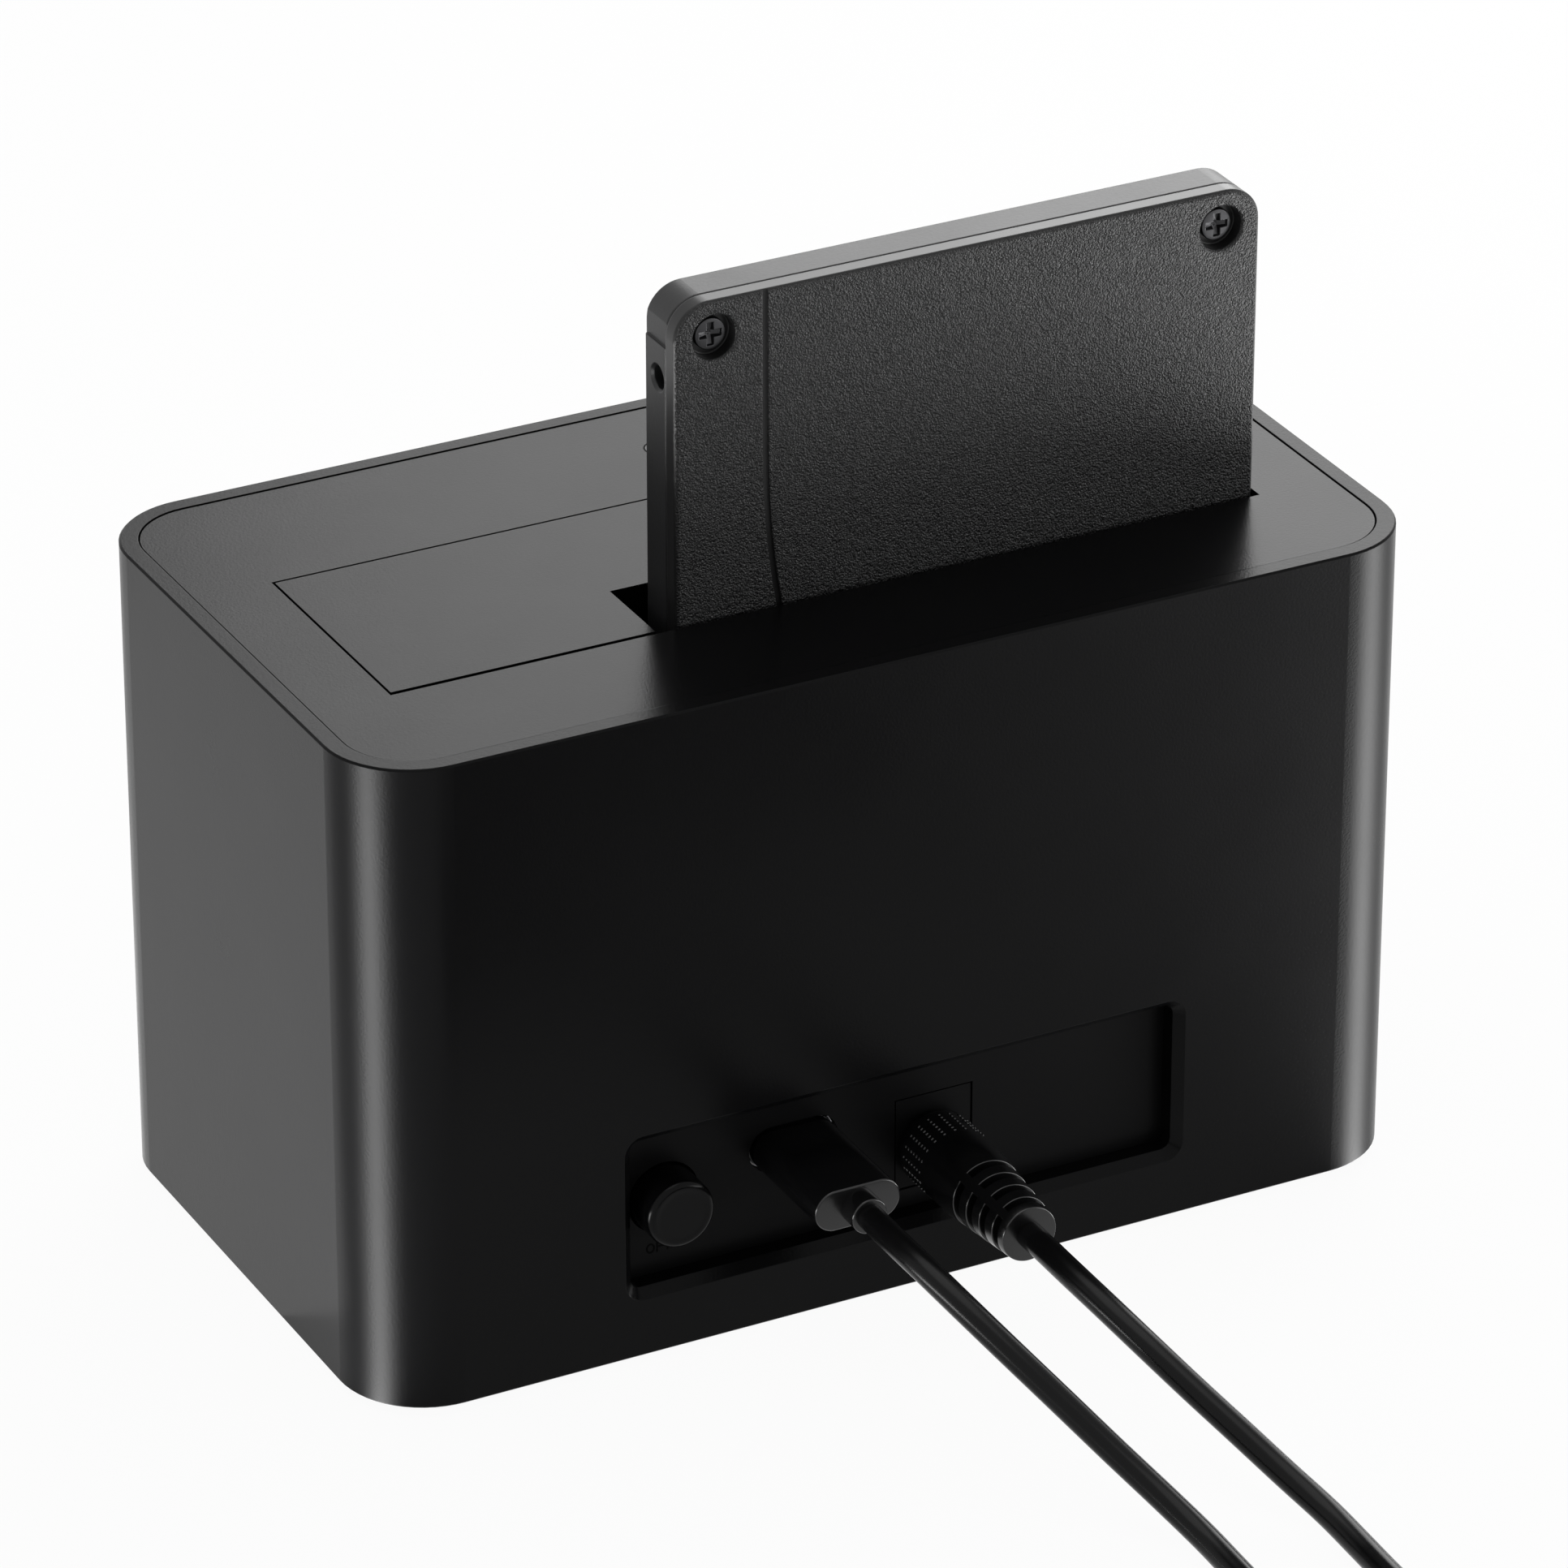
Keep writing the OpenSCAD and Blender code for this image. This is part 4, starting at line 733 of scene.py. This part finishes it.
@dataclass
class PowerPlug:
    """Grip of the round power plug: a tapered body with rings of relief slots and combs of grip ticks.

    Lengths are in mm and turns in degrees. The nose is a radius and the length over which it widens to the
    body, the shoulder two distances from the tip, and the flare what the relief has over the tip at the
    tip's edge.
    """

    centre: tuple[float, float] = (-4.4, 16.0)
    start: float = 32.3
    end: float = 53.9
    nose: tuple[float, float] = (4.05, 0.4)
    body: float = 4.35
    shoulder: tuple[float, float] = (12.0, 10.9)
    neck: float = 4.2
    tip: float = 3.2
    lip: float = 0.13
    flare: float = 0.012
    slot_first: float = 44.3
    slot_pitch: float = 2.45
    slot_width: float = 1.2
    slot_floor: float = 2.5
    slot_half: float = 82.8
    slot_mean: float = 3.7
    slot_rows: int = 4
    spine: float = 45.0
    edge: float = 0.1
    combs: int = 21
    comb_turn: float = 3.4
    ticks: int = 7
    tick_first: float = 33.5
    tick_pitch: float = 0.6
    tick_long: float = 0.34
    tick_soft: float = 0.08
    tick_half: float = 2.6
    tick_side: float = 0.35
    tick_high: float = 0.1
    facet: float = 5.0

    # Stations across an edge, in radii of the edge, and the one past which the floor starts
    EDGE_STATIONS: ClassVar[Array] = np.array([-0.4, 0.0, 0.25, 0.5, 0.7, 0.85, 0.96, 1.0, 1.04])
    FLOOR_FROM: ClassVar[float] = 1.02

    def __post_init__(self) -> None:
        """Work out the profile's knots and the places of the slots, ticks and combs."""
        self.knots = np.array([
            (self.start, self.nose[0]), (self.start + self.nose[1], self.body),
            (self.end - self.shoulder[0], self.body), (self.end - self.shoulder[1], self.neck),
            (self.end - self.lip, self.tip + self.flare)])
        self.slot_y = self.slot_first + np.arange(self.slot_rows) * self.slot_pitch
        self.slot_turn = self.spine + np.array([90.0, -90.0])
        self.slot_scale = math.degrees(1.0 / self.slot_mean)
        self.tick_y = self.tick_first + np.arange(self.ticks) * self.tick_pitch
        self.comb_step = 360.0 / self.combs

    @staticmethod
    def ramp(value: Array, low: float, high: float, soft: float) -> Array:
        """A window that rises over soft from low and falls over soft to high."""
        return np.clip((value - low) / soft, 0.0, 1.0) * np.clip((high - value) / soft, 0.0, 1.0)

    def stations(self) -> tuple[Array, Array]:
        """Lay out the grid.

        Rows lie at the profile's knots and at the edges of slots and ticks. Columns lie at the edges of
        slots and combs and a facet apart.
        Returns:
            The y of each row, upright, and the turn of each column, lying.
        """
        inset = self.edge * self.EDGE_STATIONS
        cuts = self.slot_y[:, None] + np.concatenate([inset, self.slot_width - inset])
        rise = self.tick_soft * np.array([-0.5, 0.0, 1.0])
        marks = self.tick_y[:, None] + np.concatenate([rise, self.tick_long - rise])
        along = np.unique(np.round(np.concatenate([self.knots[:, 0], cuts.ravel(), marks.ravel()]), 4))
        ends = self.slot_half - inset * self.slot_scale
        edges = self.slot_turn[:, None] + np.concatenate([ends, -ends])
        comb = self.comb_turn + np.arange(self.combs) * self.comb_step
        flank = self.tick_half * np.array([1.2, 1.0, 1.0 - self.tick_side])
        bars = comb[:, None] + np.concatenate([flank, -flank])
        turns = np.concatenate([edges.ravel(), bars.ravel(), np.arange(0.0, 360.0, self.facet)])
        return along[:, None], np.unique(np.round(turns % 360.0, 3))[None, :]

    def slot_depth(self, y: Array, turn: Array) -> Array:
        """Find how far inside a slot each point of the grid lies.

        It is the lesser of the distances to the slot's side and to its end, and negative outside.
        Args:
            y: The y of each row.
            turn: The turn of each column.
        Returns:
            The distance to the nearest edge.
        """
        inside = np.full(np.broadcast_shapes(y.shape, turn.shape), -1.0)
        half = self.slot_width / 2.0
        for side in self.slot_turn:
            turned = np.abs((turn - side + 180.0) % 360.0 - 180.0)
            for low in self.slot_y:
                deep = np.minimum(half - np.abs(y - low - half), (self.slot_half - turned) / self.slot_scale)
                inside = np.maximum(inside, deep)
        return inside

    def build(self) -> bpy.types.Object:
        """Revolve the grip with its slots and ticks.

        The radius at y and angle is the body's tapered profile, raised by the ticks' height inside a tick's
        window in y and angle. Inside a slot, at a distance d from its nearest edge, it falls by the edge's
        radius e less the root of e squared less d squared, and past that edge it lies on the slot's floor.
        Returns:
            The grip's object.
        """
        y, turn = self.stations()
        inside = self.slot_depth(y, turn)
        near = np.clip(inside / self.edge, 0.0, 1.0)
        half_step = self.comb_step / 2.0
        off_comb = (turn - self.comb_turn + half_step) % self.comb_step - half_step
        bar = self.ramp(off_comb, -self.tick_half, self.tick_half, self.tick_side * self.tick_half)
        row = sum(self.ramp(y, low, low + self.tick_long, self.tick_soft) for low in self.tick_y)
        radius = (np.interp(y, self.knots[:, 0], self.knots[:, 1])
                  - self.edge * (1.0 - np.sqrt(1.0 - near ** 2)) + self.tick_high * bar * row)
        radius = np.where(inside > self.FLOOR_FROM * self.edge, self.slot_floor, radius)
        lip = rounded(self.lip)[1:]
        radius = np.concatenate([radius, self.tip - lip[:, 1:] + 0.0 * turn])
        y = np.concatenate([y, self.end - lip[:, :1]])
        angle = np.radians(turn)
        points = np.stack([self.centre[0] + radius * np.cos(angle), y + 0.0 * angle,
                           self.centre[1] + radius * np.sin(angle)], axis=-1) * MM
        piece = make_piece("dc_grip_body", [grid_patch(points)], GRIP, "dock", sharp=50.0)
        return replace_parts(piece, "dc_plug_grip")


@dataclass
class PushButton:
    """The power button: flange, barrel, rounded rim and a faintly dished face, in mm."""

    centre: tuple[float, float] = (28.0, 18.0)
    radius: float = 3.95
    face: float = 36.6
    back: float = 28.5
    flange: tuple[float, float] = (4.75, 1.2)
    stem: tuple[float, float] = (1.55, 7.1)
    edge: float = 0.75
    dish: float = 0.07
    dish_share: float = 0.12
    hub_share: float = 0.02

    def build(self) -> bpy.types.Object:
        """Revolve the button.

        Returns:
            The button's object.
        """
        lip = rounded(self.edge, 10)
        inner = self.radius - self.edge
        steps = np.linspace(1.0, self.hub_share, 12)
        fall = self.dish * np.clip((1.0 - steps) / self.dish_share, 0.0, 1.0)
        dished = np.stack([inner * steps, self.face - fall], axis=1)
        profile = np.concatenate([
            [(self.stem[0], self.back - self.stem[1]), (self.stem[0], self.back), (self.flange[0], self.back),
             (self.flange[0], self.back + self.flange[1]), (self.radius, self.back + self.flange[1])],
            np.stack([self.radius - lip[:, 1], self.face - lip[:, 0]], axis=1), dished[1:]])
        piece = make_piece("button_cap", [revolve_y(profile * MM, np.array(self.centre) * MM, 120)], BUTTON,
                           "button", sharp=50.0)
        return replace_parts(piece, "power_button")


@dataclass
class PanelMark:
    """The word OFF in plain strokes under the button, on the port panel, in mm."""

    middle: float = 28.33
    base: float = 11.42
    tall: float = 1.22
    wide: float = 0.92
    step: float = 1.25
    stroke: float = 0.2
    panel: float = 32.0
    proud: float = 0.02
    sunk: float = 0.05
    ring_share: float = 0.92
    arm_top: float = 0.95
    arm_low: float = 0.75
    arm_height: float = 0.54

    def stroke_patch(self, points: Array, closed: bool = False) -> Patch:
        """Carry a flat stroke along a line on the panel.

        Each point of the line gives four corners: half a stroke to either side of the line, at the panel and
        proud of it.
        Args:
            points: Rows of x and z.
            closed: Whether the last point joins the first.
        Returns:
            The closed patch.
        """
        if closed:
            ahead = np.roll(points, -1, axis=0) - np.roll(points, 1, axis=0)
        else:
            ahead = np.gradient(points, axis=0)
        ahead = ahead / np.linalg.norm(ahead, axis=1, keepdims=True)
        side = np.stack([-ahead[:, 1], ahead[:, 0]], axis=1) * self.stroke / 2.0
        flat = np.stack([points - side, points + side, points + side, points - side], axis=1)
        depth = np.array([-self.sunk, -self.sunk, self.proud, self.proud]) + self.panel
        grid = np.stack([flat[..., 0], depth + 0.0 * flat[..., 0], flat[..., 1]], axis=-1) * MM
        return grid_patch(grid, wrap_rows=closed)

    def letter_f(self, left: float) -> list[Patch]:
        """Draw an F.

        Args:
            left: The x of its left edge, seen from the ports' side.
        Returns:
            Its strokes.
        """
        top, half = self.base + self.tall, self.stroke / 2.0
        low = self.base + self.arm_height * self.tall
        stem = np.array([(left, self.base), (left, top)])
        arms = [np.array([(left - half, z), (left - reach * self.wide, z)])
                for z, reach in ((top - half, self.arm_top), (low, self.arm_low))]
        return [self.stroke_patch(line) for line in (stem, *arms)]

    def build(self) -> None:
        """Draw the word."""
        turn = circle(36)
        across, upright = self.wide / 2.0 * self.ring_share, (self.tall - self.stroke) / 2.0
        ring = np.stack([self.middle + self.step + across * np.cos(turn),
                         self.base + self.tall / 2.0 + upright * np.sin(turn)], axis=1)
        patches = [self.stroke_patch(ring, closed=True)]
        for place in (0.0, -self.step):
            patches += self.letter_f(self.middle + place + self.wide / 2.0)
        make_piece("panel_mark", patches, INK_AND_GAP_SHADE, "dock")


@dataclass
class PortLiner:
    """Rim of the USB port's steel shell, which lines the panel's hole round the plug, in mm."""

    centre: tuple[float, float] = (12.4, 20.4)
    width: float = 10.42
    height: float = 5.12
    wire: float = 0.1
    panel: float = 31.0
    around: int = 120
    sides: int = 14

    def build(self) -> None:
        """Carry a small circle round a flat-sided oval.

        A point at angle a of the oval and t of the circle is the end circle's centre on its own side, plus
        the end radius and the wire's radius times cos t along (cos a, sin a), and the wire's radius times
        sin t along y.
        """
        angle = (circle(self.around) + np.pi / self.around)[:, None]
        turn = circle(self.sides)[None, :]
        side = np.sign(np.cos(angle)) * (self.width - self.height) / 2.0
        radius = self.height / 2.0 + self.wire * np.cos(turn)
        points = np.stack([self.centre[0] + side + radius * np.cos(angle),
                           self.panel + self.wire * np.sin(turn) + 0.0 * angle,
                           self.centre[1] + radius * np.sin(angle)], axis=-1) * MM
        make_piece("usb_port_liner", [grid_patch(points, wrap_rows=True)], STEEL, "dock")


@dataclass
class PipeRing:
    """A near-black ring round the status light's pipe in the top, in mm: painted shade of the gap round the
    pipe.
    """

    inner: float = 1.58
    outer: float = 1.78
    deep: float = 0.1
    proud: float = 0.012

    def build(self) -> None:
        """Carry a flat oblong section round the pipe's axis, at (r cos a, r sin a) from it."""
        low, high = (np.array(corner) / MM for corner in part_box("light_pipe"))
        angle = circle(96)[:, None]
        radius = np.array([[self.inner, self.outer, self.outer, self.inner]])
        height = high[2] + np.array([[-self.deep, -self.deep, self.proud, self.proud]])
        middle = (low + high) / 2.0
        points = np.stack([middle[0] + radius * np.cos(angle), middle[1] + radius * np.sin(angle),
                           height + 0.0 * angle], axis=-1) * MM
        # Painted shade: a flat near-black ring stands where the gap round the pipe lies in shade.
        make_piece("light_pipe_gap_shade", [grid_patch(points, wrap_rows=True)], INK_AND_GAP_SHADE, "dock")


# Drive

@dataclass
class DriveScrews:
    """Heads of the drive's four cover screws, in mm."""

    head: float = 1.8
    rise: float = 0.7
    arm: float = 1.32
    arm_half: float = 0.26
    wall: float = 0.16
    depth: float = 0.68
    hub_share: float = 0.012
    rim_share: float = 0.94
    crown: float = 0.1
    rim_round: float = 0.16

    def arm_depth(self, length: Array, side: Array) -> Array:
        """Find the depth of one arm of the cross.

        It falls to half along the arm, and to nothing over the wall's width at its sides and end.
        Args:
            length: Place along the arm.
            side: Place across the arm.
        Returns:
            The depth.
        """
        walls = np.minimum((self.arm_half + self.wall - np.abs(side)) / self.wall,
                           (self.arm - np.abs(length)) / (0.5 * self.wall))
        return self.depth * np.clip(walls, 0.0, 1.0) * (1.0 - 0.5 * np.abs(length) / self.arm)

    def one(self, x: float, y: float, z: float) -> Patch:
        """Make one head with its cross.

        The height over the seat is the rise, less a fourth-power fall to the rim, less the deeper of the
        cross's arms. At the rim the head turns down to its seat.
        Args:
            x: Place of the axis.
            y: The seat.
            z: Place of the axis.
        Returns:
            The closed patch.
        """
        share = np.concatenate([np.linspace(self.hub_share, self.rim_share, 50),
                                np.linspace(self.rim_share + 0.015, 1.0, 5)])[:, None]
        angle = circle(192)[None, :]
        across, along = share * self.head * np.cos(angle), share * self.head * np.sin(angle)
        cross = np.maximum(self.arm_depth(across, along), self.arm_depth(along, across))
        edge = np.clip((share - self.rim_share) / (1.0 - self.rim_share), 0.0, 1.0)
        turned_down = self.rim_round * (1.0 - np.sqrt(1.0 - edge ** 2))
        height = self.rise - self.crown * share ** 4 - cross - turned_down
        grid = np.stack([x + across, y + height, z + along], axis=-1)
        seat = np.stack([x + across[-1:], y + 0.0 * across[-1:], z + along[-1:]], axis=-1)
        return grid_patch(np.concatenate([grid, seat]) * MM)

    def build(self) -> bpy.types.Object:
        """Make the four heads in the recesses of the cover.

        Returns:
            The heads' object.
        """
        low, high = (np.array(corner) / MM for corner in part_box("drive_screws"))
        places = [(x, z) for x in (low[0] + self.head, high[0] - self.head)
                  for z in (low[2] + self.head, high[2] - self.head)]
        piece = make_piece("cover_screw_heads", [self.one(x, high[1] - self.rise, z) for x, z in places],
                           DARK_STEEL, "drive", sharp=40.0)
        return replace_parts(piece, "drive_screws")


# Studio

FLOOR_LIFT = 0.0003


@dataclass
class SoftBox:
    """A rectangular studio light.

    Attributes:
        name: Name of the light.
        place: Its middle, in metres.
        size: Its two sides, in metres.
        radiance: Its radiance.
        aim: The point that it faces, or None for one that lies flat and faces up.
        heading: Direction of the first side of one that lies flat, in degrees from +X.
    """

    name: str
    place: tuple[float, float, float]
    size: tuple[float, float]
    radiance: float
    aim: Optional[tuple[float, float, float]] = None
    heading: float = 0.0

    def build(self) -> None:
        """Add the light, whose power is its radiance times pi times its area."""
        data = bpy.data.lights.new(self.name, "AREA")
        data.shape = "RECTANGLE"
        data.size, data.size_y = self.size
        data.energy = self.radiance * math.pi * self.size[0] * self.size[1]
        light = bpy.data.objects.new(self.name, data)
        light.location = self.place
        if self.aim is None:
            light.rotation_euler = (math.pi, 0.0, math.radians(self.heading))
        else:
            way = Vector(self.aim) - Vector(self.place)
            light.rotation_euler = way.to_track_quat("-Z", "Y").to_euler()
        light.visible_camera = False
        bpy.context.scene.collection.objects.link(light)


def stage_sheet(name: str, points: Array, faces: Array, material: bpy.types.Material) -> bpy.types.Object:
    """Add a sheet of the stage, which isn't part of the object.

    Args:
        name: Name of the sheet.
        points: Rows of points, in metres.
        faces: Rows of point numbers.
        material: Its material.
    Returns:
        The sheet's object.
    """
    mesh = bpy.data.meshes.new(name)
    mesh.from_pydata(points.tolist(), [], faces.tolist())
    mesh.materials.append(material)
    sheet = bpy.data.objects.new(name, mesh)
    bpy.context.scene.collection.objects.link(sheet)
    return sheet


@dataclass
class FloorFan:
    """A glowing sheet on the floor, which a round corner of the sleeve mirrors as an even upright band.

    Attributes:
        name: Name of the sheet.
        side: 1 for the corner at +X, -1 for the one at -X.
        middle: Turn of the corner's normal from +Y at the band's middle, in degrees.
        spread: Turn from there to where the glow has fallen to 0.6, in degrees.
        radiance: Radiance at the middle.
        limits: Least and largest turn that the sheet covers, in degrees.
        corner: Middle of the corner's rounding, x and y in mm.
        radius: Radius of the corner in mm.
        reach: Length of the sheet in mm.
    """

    name: str
    side: int
    middle: float
    spread: float
    radiance: float
    limits: tuple[float, float]
    corner: tuple[float, float] = (53.0, 25.0)
    radius: float = 10.0
    reach: float = 230.0

    def material(self) -> bpy.types.Material:
        """Make the glow, full where the sheet's attribute is 1 and clear where it is 0 and on the back.

        Returns:
            The material.
        """
        made, graph = new_material(self.name)
        glow = graph.node("ShaderNodeAttribute", {"attribute_name": "glow"})["Fac"]
        front = 1.0 - graph.node("ShaderNodeNewGeometry")["Backfacing"]
        clear = graph.node("ShaderNodeBsdfTransparent")
        light = graph.node("ShaderNodeEmission", {}, {"Strength": self.radiance})
        graph.layers("ShaderNodeOutputMaterial", glow * front, clear, light)
        return made

    def build(self, view: Vec) -> None:
        """Lay the sheet out.

        A row starts on the corner where its normal has turned by b, at the rounding's middle plus its radius
        times (sin b, cos b), and runs as a view ray mirrors there: along twice the normal's share of the view
        times the normal, less the view. The glow is a bell curve in b.
        Args:
            view: Direction from the object to the camera.
        """
        turn = np.arange(self.limits[0], self.limits[1] + 0.5)
        normal = np.stack([self.side * np.sin(np.radians(turn)), np.cos(np.radians(turn))], axis=1)
        flat = np.array(view[:2])
        run = 2.0 * (normal @ flat)[:, None] * normal - flat
        run /= np.linalg.norm(run, axis=1, keepdims=True)
        start = np.array(self.corner) * (self.side, 1) + self.radius * normal
        grid = np.stack([start, start + self.reach * run], axis=1) * MM
        points = np.concatenate([grid, np.full(grid.shape[:2] + (1,), FLOOR_LIFT)], axis=2).reshape(-1, 3)
        first = 2 * np.arange(len(turn) - 1)[:, None]
        faces = first + np.array([[0, 1, 3, 2] if self.side < 0 else [2, 3, 1, 0]])
        sheet = stage_sheet(self.name, points, faces, self.material())
        glow = np.repeat(np.exp(-0.5 * ((turn - self.middle) / self.spread) ** 2), 2).astype(np.float32)
        sheet.data.attributes.new("glow", "FLOAT", "POINT").data.foreach_set("value", glow)
        sheet.visible_camera = False
        sheet.visible_shadow = False


LAMPS = (
    SoftBox("rear_box", (-0.75, -0.75, 0.6), (1.0, 0.7), 3.1, aim=(0.0, 0.0, 0.08)),
    SoftBox("right_box", (-0.32, -0.27, 0.25), (0.26, 0.24), 1.6, aim=(-0.05, 0.0, 0.077)),
    SoftBox("overhead_box", (0.1, -0.1, 1.1), (0.9, 0.9), 1.4, aim=(0.0, 0.0, 0.05)),
    SoftBox("raking_box", (-0.7, 0.5, 0.1), (0.56, 0.35), 5.4, aim=(0.0, 0.017, 0.1)),
    SoftBox("left_card", (0.09302, -0.088782, FLOOR_LIFT), (0.2, 0.075), 0.5, heading=-62.6),
)
FANS = (
    FloorFan("left_fan", 1, 54.0, 5.6, 26.0, (36.0, 72.0)),
    FloorFan("right_fan", -1, 18.0, 6.5, 16.5, (0.0, 38.0)),
)


@dataclass
class Studio:
    """Camera, floor, world and lights, in metres and degrees.

    The floor is white by the share white where it is seen, and grey for every other ray.
    """

    azimuth: float = 152.561
    elevation: float = 27.553
    focal_px: float = 10903.9
    image_px: float = 1932.0
    sensor: float = 36.0
    clip: tuple[float, float] = (0.01, 20.0)
    place: tuple[float, float, float] = (0.39154, 0.760002, 0.491978)
    floor_half: float = 3.0
    floor_grey: float = 0.82
    white: float = 0.95
    soft: float = 0.3

    def view(self) -> Vector:
        """Direction from the object to the camera."""
        a, e = math.radians(self.azimuth), math.radians(self.elevation)
        return Vector((math.sin(a) * math.cos(e), -math.cos(a) * math.cos(e), math.sin(e)))

    def camera(self) -> None:
        """Place the camera at the photograph's angle."""
        data = bpy.data.cameras.new("camera")
        data.sensor_width = self.sensor
        data.sensor_height = self.sensor
        data.lens = self.sensor * self.focal_px / self.image_px
        data.clip_start, data.clip_end = self.clip
        back = self.view()
        right = Vector((-back.y, back.x, 0.0)).normalized()
        up = back.cross(right)
        camera = bpy.data.objects.new("camera", data)
        camera.matrix_world = Matrix((
            (right.x, up.x, back.x, self.place[0]), (right.y, up.y, back.y, self.place[1]),
            (right.z, up.z, back.z, self.place[2]), (0.0, 0.0, 0.0, 1.0)))
        bpy.context.scene.collection.objects.link(camera)
        bpy.context.scene.camera = camera

    @staticmethod
    def seen(graph: Graph) -> Sock:
        """1 for rays that show the background: from the camera, mirrored or passing through."""
        path = graph.node("ShaderNodeLightPath")
        return path["Is Camera Ray"].most(path["Is Glossy Ray"]).most(path["Is Transmission Ray"])

    def floor(self) -> None:
        """Lay the pale floor, mostly white where it is seen, with the object's shadow left on it."""
        made, graph = new_material("pale_floor")
        matt = graph.node("ShaderNodeBsdfDiffuse", {}, {"Color": (*[self.floor_grey] * 3, 1.0)})
        glow = graph.node("ShaderNodeEmission", {}, {"Color": WHITE, "Strength": 1.0})
        graph.layers("ShaderNodeOutputMaterial", self.seen(graph) * self.white, matt, glow)
        corners = np.array([(-1, -1, 0), (1, -1, 0), (1, 1, 0), (-1, 1, 0)]) * self.floor_half
        stage_sheet("floor", corners, np.array([[0, 1, 2, 3]]), made)

    def world(self) -> None:
        """Light the world softly, white where it is seen."""
        world = bpy.data.worlds.new("studio_world")
        bpy.context.scene.world = world
        world.use_nodes = True
        graph = Graph(world.node_tree)
        soft, white = (graph.node("ShaderNodeBackground", {}, {"Color": WHITE, "Strength": strength})
                       for strength in (self.soft, 1.0))
        graph.layers("ShaderNodeOutputWorld", self.seen(graph), soft, white)

    def build(self) -> None:
        """Set the view and build the whole studio."""
        bpy.context.scene.view_settings.view_transform = "Standard"
        self.camera()
        self.floor()
        self.world()
        for lamp in LAMPS:
            lamp.build()
        for fan in FANS:
            fan.build(self.view())


# Assembly

USB_LEAD = Lead(
    name="usb_lead",
    route=[(12.4, 49.5, 20.4), (12.4, 54, 20.3), (11.8, 60, 19.6), (10.3, 66, 17.7), (7.9, 72, 14.7),
           (4.9, 78, 11), (2, 84, 7.4), (-0.5, 90, 4.4), (-2, 96, 2.5), (-2.3, 102, 1.8), (-2.2, 108, 1.7),
           (-2.2, 118, 1.9), (-2.2, 124, 2.2), (-2.2, 127, 2.2), (-2.2, 130, 2.2), (-2.2, 133, 2.2)],
    coil=Coil((22.3, 133.0), 3.75, 180.0, -1),
    tail=[(-2.2, 138, 5.7), (-2.2, 143, 5.2), (-2.2, 148, 4.7), (-2.2, 151, 4.5), (-2.2, 154, 4.5)],
    nodes=("usb_cord", "usb_coil"),
    fittings=("usb_grip_body", "usb_plug_shell", "usb_far_grip", "usb_far_shell", "usb_far_tongue"),
    tie="usb_tie")

DC_LEAD = Lead(
    name="dc_lead",
    route=[(-4.4, 53.9, 16), (-4.4, 57, 16), (-4.6, 62, 15.7), (-5.5, 68, 14.6), (-7.1, 74, 12.6),
           (-9.3, 80, 9.9), (-11.7, 86, 7.1), (-13.9, 92, 4.5), (-15.5, 98, 2.7), (-15.9, 104, 1.9),
           (-15.8, 110, 1.7), (-15.8, 120, 1.7), (-15.8, 132, 1.7), (-15.8, 145, 1.9), (-15.8, 156, 2.2),
           (-15.8, 159, 2.2), (-15.8, 162, 2.2), (-15.8, 165, 2.2)],
    coil=Coil((-42.1, 165.0), 4.25, 0.0, 1),
    tail=[(-15.8, 172, 5.8), (-15.8, 179, 5.8), (-15.8, 185, 5.8), (-15.8, 188, 5.8)],
    nodes=("dc_cord", "dc_coil"),
    fittings=("dc_grip_body", "dc_plug_barrel", "adapter_case", "adapter_lid", "adapter_blades",
              "adapter_grommet"),
    tie="dc_tie")


def dress_nodes() -> None:
    """Give every CAD node that is kept its finish."""
    for name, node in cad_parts.items():
        node.data.materials.clear()
        node.data.materials.append(NODE_FINISH.get(name, CHIP).material())


def main() -> None:
    """Build the pieces in order."""
    logging.basicConfig(level=logging.INFO, format="%(message)s")
    dress_nodes()
    Studio().build()
    for assembly in (UsbPlug(), PowerPlug(), USB_LEAD, DC_LEAD, PushButton(), PanelMark(), PortLiner(),
                     PipeRing(), DriveScrews()):
        assembly.build()


if __name__ == "__main__":
    main()
